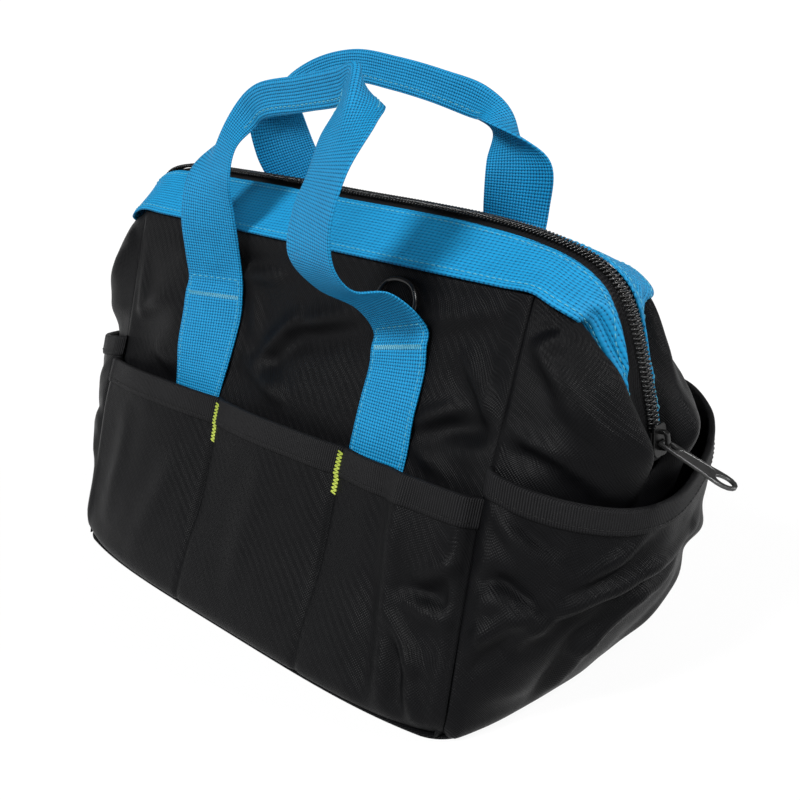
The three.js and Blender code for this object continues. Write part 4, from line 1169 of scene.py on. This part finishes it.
handle_grids = {
    "front": handle_grid(FRONT_LOOP, STRAP_X["left"], STRAP_X["right"],
                         right_lift=2, slant=STRAP_SLANT, side=-1),
    "back": handle_grid(BACK_LOOP, -STRAP_X["right"], -STRAP_X["left"],
                        right_lift=1, slant=0, side=1)}
for name, grid in handle_grids.items():
    handle(f"handle_{name}", grid)

# %% [markdown]
# ## Slider, pull tab and ring
# Small castings are drawn as flat outlines with holes. Blender fills such a curve, gives it depth
# and rounds its edges, which suits pressed and cast metal. The slider is built in its own frame,
# with X out of the bag and Z along the zip, and then leaned into place. The tab turns on its hinge.

# %% Slider
SLIDER_AT = np.array([207.2, 0, 146])
SLIDER_LEAN = -0.151
CHAIN_WIDTH = 10
PLATE_LONG = 8
PLATE_WIDE = BAND_EDGE_Y - 0.4
PLATE_LOW = 2 * GAP + COIL_HEIGHT
PLATE_THICK = 1.7
UNDER_PLATE = {"half": 4.2, "thick": 1.5, "at": -2.95}
WING_THICK = 1.1
POST_THICK = 1.2
BAIL_WIDE = 3.0
CAST_EDGE_ANGLE = 35
BEVEL = {"plate": 0.5, "under": 0.4, "wing": 0.3, "post": 0.2, "bail": 0.4, "tab": 0.35,
         "tab_panel": 0.05}


def turned_y(points, angle):
    c, s = math.cos(angle), math.sin(angle)
    return points @ np.array([[c, 0, s], [0, 1, 0], [-s, 0, c]]).T


def standing(shape, x):
    """A slab drawn across (y) and along (z), stood up at a height x out of the bag."""
    points, faces, flat = shape
    return np.column_stack([points[:, 2] + x, points[:, 0], points[:, 1]]), faces, flat


def upright(shape, y=0):
    """A slab drawn along (z) and out of the bag (x), stood on edge at a place y across."""
    points, faces, flat = shape
    return np.column_stack([points[:, 1], points[:, 2] + y, points[:, 0]]), faces, flat


def rounded(keys, steps=48):
    return spline(keys, np.linspace(0, 1, steps, endpoint=False), closed=True)


def oblong(x, y):
    """A four-sided outline with the given ends."""
    return [(x[0], y[0]), (x[1], y[0]), (x[1], y[1]), (x[0], y[1])]


w, h = PLATE_WIDE, PLATE_LONG
plate = rounded([(-w, -h + 3), (-w + 2.2, -h), (0, -h - 0.2), (w - 2.2, -h), (w, -h + 3),
                 (w - 0.8, 2), (w - 1.6, h - 1.2), (w - 3, h), (0, h - 0.2), (-w + 3, h),
                 (-w + 1.6, h - 1.2), (-w + 0.8, 2)])
roof = PLATE_LOW + PLATE_THICK
low = UNDER_PLATE["half"]
under = rounded(oblong((-low, low), (-h, h)))
wing = oblong((-h + 3, h - 3), (0.7, PLATE_LOW + 0.4))
wing_y = CHAIN_WIDTH / 2 + GAP + WING_THICK / 2
post = oblong((-h, -5.2), (-2.4, PLATE_LOW + 0.3))
arch = [(-5, roof - 0.3), (-5, roof + 2.6), (-3.6, roof + 4.3), (0, roof + 4.6), (3.6, roof + 4.3),
        (5, roof + 2.6), (5, roof - 0.3), (3.1, roof - 0.3), (3.1, roof + 2.2), (2.2, roof + 2.7),
        (-2.2, roof + 2.7), (-3.1, roof + 2.2), (-3.1, roof - 0.3)]
wing_plate = slab(wing, [], WING_THICK, BEVEL["wing"])
points, faces, flat = merge([
    standing(slab(plate, [], PLATE_THICK, BEVEL["plate"]), PLATE_LOW + PLATE_THICK / 2),
    standing(slab(under, [], UNDER_PLATE["thick"], BEVEL["under"]), UNDER_PLATE["at"]),
    upright(wing_plate, -wing_y), upright(wing_plate, wing_y),
    upright(slab(post, [], POST_THICK, BEVEL["post"])),
    upright(slab(arch, [], BAIL_WIDE, BEVEL["bail"]))])
points = turned_y(points, SLIDER_LEAN) + SLIDER_AT
slider = build("zip_slider", (points, faces, flat), slider_metal, CAST_EDGE_ANGLE)
dress(slider, "slider_metal", "zip_slider")

# %% Pull tab
TAB_LENGTH = 41
TAB_THICK = 1.8
TAB_DROP = 0.3
PANEL_THICK = 0.9

tip = TAB_LENGTH
bar = 0.8
edge = [(-bar, -3.4), (tip * 0.6, -4.4), (tip * 0.7, -5.0), (tip * 0.8, -5.3), (tip * 0.88, -5.0),
        (tip * 0.95, -3.8), (tip * 0.99, -1.9), (tip, 0)]
outline = edge + [(x, -y) for x, y in edge[-2::-1]]
angle = np.linspace(0, 2 * np.pi, 32, endpoint=False)
eye = np.stack([tip * 0.84 + 4.6 * np.cos(angle), 2.9 * np.sin(angle)], axis=-1)
window = rounded([(bar, -2), (5.5, -2), (7.8, -1.2), (7.8, 1.2), (5.5, 2), (bar, 2)], 24)
recess = [(10, -2.3), (tip * 0.6, -3.3), (tip * 0.68, -2.6), (tip * 0.66, 0), (tip * 0.68, 2.6),
          (tip * 0.6, 3.3), (10, 2.3), (9, 0)]
tab = merge([slab(outline, [window, eye, recess], TAB_THICK, BEVEL["tab"]),
             slab(recess, [], PANEL_THICK, BEVEL["tab_panel"])])
points = turned_y(tab[0], TAB_DROP) + HINGES["tab_hinge"]
tab = build("pull_tab", (points, *tab[1:]), tab_metal, CAST_EDGE_ANGLE)
dress(tab, "tab_metal", "pull_tab", body="tab")

# %% D-ring and its loop
RING_WIRE = 1.4
RING_WIDTH = 29
RING_HEIGHT = 20
RING_TAIL = 8
RING_LEAN = -0.29
LOOP_CLOTH = 0.9
LOOP_HALF = 8


def leaned(points):
    """From the ring's own frame, its bar along X at the hinge, to the bag's frame."""
    c, s = math.cos(RING_LEAN), math.sin(RING_LEAN)
    return points @ np.array([[1, 0, 0], [0, c, -s], [0, s, c]]).T + HINGES["ring_hinge"]


w = RING_WIDTH / 2 - RING_WIRE
h = RING_HEIGHT - 2 * RING_WIRE
half_bow = [(w - 3, 0), (w, 2.6), (w, h * 0.5), (w * 0.68, h * 0.87)]
bow_keys = ([(-w + 3, 0), (-w + 5, 0), (0, 0), (w - 5, 0)] + half_bow + [(0, h)]
            + [(-x, z) for x, z in half_bow[:0:-1]])
bow_line = spline([(x, 0, z) for x, z in bow_keys], np.linspace(0, 1, 140, endpoint=False), True)
points, faces, flat = tube(leaned(bow_line), leaned(np.array([[0, 1, 0]])) - HINGES["ring_hinge"],
                           RING_WIRE, sides=14, closed=True)
dress(build("d_ring", (points, faces, flat), ring_steel), "ring_steel", "d_ring", body="ring")

angle = np.linspace(0, 1.5 * np.pi, 22)
middle = RING_WIRE + GAP + LOOP_CLOTH / 2
tail = np.stack([np.full(6, middle), np.linspace(-RING_TAIL, -0.4, 6)], axis=-1)
hook = np.vstack([tail, middle * np.stack([np.cos(angle), np.sin(angle)], axis=-1)])
x = np.linspace(-LOOP_HALF, LOOP_HALF, 13)
grid = np.stack([np.stack([np.full(len(hook), c), hook[:, 0], hook[:, 1]], -1) for c in x], axis=1)
loop = shell(sheet(leaned(grid)), LOOP_CLOTH / 2, -LOOP_CLOTH / 2)
dress(build("d_ring_loop", loop, ribbed_tape), "ribbed_tape", "d_ring_loop")

# %% [markdown]
# ## Stitches
# Thread holds it all together, and it shows: pale blue on the webbing, black on the tape, and lime
# zigzag tacks at the pocket dividers. A stitch is a short tube that dips into the cloth at both
# ends. All stitches of one colour are joined into one mesh, made from arrays, which stays light.

# %% Making stitches
def on_grid(grid, row, column):
    """Points and normals of a grid at fractions of its rows and columns."""
    row, column = np.broadcast_arrays(np.asarray(row, float), np.asarray(column, float))
    i = np.clip(row.astype(int), 0, grid.shape[0] - 2)
    j = np.clip(column.astype(int), 0, grid.shape[1] - 2)
    f = (row - i)[..., None]
    g = (column - j)[..., None]
    found = []
    for field in (grid, grid_normals(grid)):
        low = field[i, j] * (1 - g) + field[i, j + 1] * g
        high = field[i + 1, j] * (1 - g) + field[i + 1, j + 1] * g
        found.append(low * (1 - f) + high * f)
    return found[0], unit(found[1])


STITCH_DIP = np.array([-0.8, 0.35, 0.6, 0.35, -0.8])
STITCH_TAPER = np.array([0.5, 0.95, 1, 0.95, 0.5])


def stitches(line, facing, long=3.0, gap=0.9, radius=0.32):
    """A row of stitches along a line of points. Each dips into the cloth at both ends."""
    place = arcs(line[None], 1)[0]
    count = max(1, int((place[-1] - gap) / (long + gap)))
    pitch = place[-1] / count
    made = []
    for k in range(count):
        at = (k + 0.5) * pitch + (long / 2) * np.linspace(-1, 1, len(STITCH_DIP))
        up = unit(at_lengths(facing, place, at))
        path = at_lengths(line, place, at) + up * (radius * STITCH_DIP)[:, None]
        made.append(tube(path, up, radius * STITCH_TAPER, sides=6))
    return made


def thread_piece(name, shapes, thread):
    made = build(name, merge(shapes), thread)
    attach(made, "bag")
    print(name, "-", len(shapes), "stitches")
    return made


# %% Pale stitches on the webbing
BAND_STITCH = {"outer": 4.0, "inner": 3.2}
pale = []
for grid in band_grids.values():
    wide = arcs(grid, 0)
    run = np.arange(2, grid.shape[1] - 2)
    for edge, inset in BAND_STITCH.items():
        at = wide[-1] - inset if edge == "inner" else np.full(len(wide[-1]), inset)
        row = np.array([np.interp(at[j], wide[:, j], np.arange(len(wide))) for j in run])
        line, up = on_grid(grid, row, run)
        pale += stitches(line + up * (BAND_LOW + WEBBING), up)

LINE_POINTS = 90


def strap_line(grid, keys, start, stop, inset):
    """A line along a handle between two of its key rows, inset from an edge (or across)."""
    row = np.linspace(start, stop, LINE_POINTS) * (HANDLE_ROWS - 1) / keys
    offset = np.linspace(inset[0], inset[1], LINE_POINTS)
    column = np.interp(offset, STRAP_COLUMNS, np.arange(len(STRAP_COLUMNS)))
    line, up = on_grid(grid, row, column)
    return line + up * (WEBBING / 2), up


FOOT_STITCH = {"inset": 2.6, "top": 6.2, "foot": 0.2, "zigzag_at": 0.2}
ZIGZAG = {"high": 2.4, "over": 0.1}
FINE_THREAD = 0.24
GRIP_STITCH = {"inset": 4, "first": 3.6, "last": {"front": 5.5, "back": 3.6}}
edge = STRAP_WIDTH / 2 - FOOT_STITCH["inset"]
grip = STRAP_WIDTH / 2 - GRIP_STITCH["inset"]
for (name, grid), loop in zip(handle_grids.items(), (FRONT_LOOP, BACK_LOOP)):
    keys = len(loop["x"]) + 2 * len(FEET) - 1
    ends = FOOT_STITCH["top"], FOOT_STITCH["foot"]
    for top, foot in (ends, (keys - ends[0], keys - ends[1])):
        lower = top + (foot - top) * FOOT_STITCH["zigzag_at"]
        pale += stitches(*strap_line(grid, keys, top, top, (-edge, edge)))
        line, up = strap_line(grid, keys, lower, lower, (-edge, edge))
        swing = np.where(np.arange(len(line)) // 2 % 2 == 0, -0.5, 0.5)[:, None]
        zigzag = line + swing * (0, 0, ZIGZAG["high"]) + up * ZIGZAG["over"]
        pale.append(tube(zigzag, up, FINE_THREAD, sides=6))
        for side in (-edge, edge):
            pale += stitches(*strap_line(grid, keys, top, foot, (side, side)), radius=FINE_THREAD)
    first = len(FEET) + GRIP_STITCH["first"]
    last = keys - len(FEET) - GRIP_STITCH["last"][name]
    for side in (-grip, grip):
        pale += stitches(*strap_line(grid, keys, first, last, (side, side)))
thread_piece("pale_stitches", pale, pale_thread)

# %% Black stitches on the tape and lime tacks
TAPE_STITCH = {"inset": 2.6, "long": 2.6, "radius": 0.26}
TAPE_FACE = POCKET_CLOTH + TAPE_SLACK + BINDING
black = []
for grid, height, way in ((front_grid, BIND_HEIGHT, 1), (back_grid, BIND_HEIGHT, 1),
                          (right_grid, END_BIND_HEIGHT, 1), (left_grid, END_BIND_HEIGHT, -1)):
    line, up = below_rim(grid, np.array([height - TAPE_STITCH["inset"]]))
    line = (line[0] + up[0] * TAPE_FACE) * (way, 1, 1)
    black += stitches(line[2:-2], up[0][2:-2] * (way, 1, 1), TAPE_STITCH["long"],
                      radius=TAPE_STITCH["radius"])
thread_piece("black_stitches", black, black_thread)

TACK_LONG = 24
TACK_WIDE = 3.6
TACK_STEP = 1.0
TACK_TURNS = int(TACK_LONG / TACK_STEP)
TACK_TOPS = (1.6, 1.2)
TACK_OVER = 0.2
TACK_RADIUS = 0.5
TAPE_ENDS = (13, 16)
tacks = []
for grid, way in ((front_grid, 1), (back_grid, -1)):
    for divider, top in zip(DIVIDERS, TACK_TOPS):
        down = top + np.arange(TACK_TURNS) * TACK_STEP
        face, n = below_rim(grid, down)
        swing = np.where(np.arange(TACK_TURNS) % 2 == 0, -0.5, 0.5) * TACK_WIDE
        slant = (divider + swing) * way
        line = np.array([at_lengths(row, row[:, 0] * way, x * way) for row, x in zip(face, slant)])
        over = POCKET_CLOTH + TACK_OVER + (TAPE_SLACK + BINDING) * (1 - ramp(*TAPE_ENDS, down))
        up = n[:, int(np.argmin(np.abs(face[0, :, 0] - divider * way)))]
        path = spline(line + up * over[:, None], np.linspace(0, 1, TACK_TURNS * 6))
        tacks.append(tube(path, wall_out(-way), TACK_RADIUS, sides=7))
thread_piece("lime_tacks", tacks, lime_thread)

# %% [markdown]
# ## Floor and light
# Goods for a catalogue often stand on a light table: a pale sweep that glows, so that the floor
# stays white and only a faint shadow shows where the bag stands. A bright world would light the
# black cloth from everywhere and wash out its folds. So the world stays dim, and three broad lamps,
# in front, behind and on the right, draw the folds. The sweep is wide enough to fill the picture.

# %% Floor, lamps and world
FLOOR_RADII = (0.0, 3.0, 14.0, 20.0, 27.0)
FLOOR_RISE = 4.4
FLOOR_SIDES = 48
FLOOR_GLOW = 0.9
FLOOR_PAINT = ((0.06, 0.06, 0.06), (0.065, 0.065, 0.065))
FLOOR_CLOUDS = 400
radius = np.array(FLOOR_RADII)[:, None] / MM
angle = np.linspace(0, 2 * np.pi, FLOOR_SIDES + 1)
rise = FLOOR_RISE / MM * ramp(FLOOR_RADII[2] / MM, FLOOR_RADII[-1] / MM, radius)
sweep = np.stack(np.broadcast_arrays(-radius * np.cos(angle), radius * np.sin(angle), rise), axis=-1)


def floor_paint(u, v, flat):
    cloud = lumps(flat, FLOOR_CLOUDS)
    return cloud.mix(*FLOOR_PAINT), 0.7 + cloud * 0.1, cloud, 0.01


pale_floor = finish("pale_floor", floor_paint, glow=FLOOR_GLOW)
floor = build("floor", sheet(sweep, sweep[..., :2]), pale_floor)

WORLD_STRENGTH = 0.1
world = bpy.data.worlds.new("studio")
world.use_nodes = True
world.node_tree.nodes["Background"].inputs["Color"].default_value = (1, 1, 1, 1)
world.node_tree.nodes["Background"].inputs["Strength"].default_value = WORLD_STRENGTH
bpy.context.scene.world = world


def soft_sun(name, towards, strength, spread):
    """A broad lamp so far off that the whole floor is lit alike."""
    lamp = bpy.data.lights.new(name, "SUN")
    lamp.energy = strength
    lamp.angle = math.radians(spread)
    holder = bpy.data.objects.new(name, lamp)
    holder.rotation_euler = Vector(towards).to_track_quat("-Z", "Y").to_euler()
    bpy.context.scene.collection.objects.link(holder)


soft_sun("front_lamp", towards=(0.1, 0.76, -0.65), strength=4.2, spread=16)
soft_sun("back_lamp", towards=(-0.55, -0.5, -0.6), strength=2.8, spread=16)
soft_sun("right_lamp", towards=(-0.6, 0.5, -0.7), strength=1.6, spread=22)
bpy.context.scene.view_settings.view_transform = "Standard"
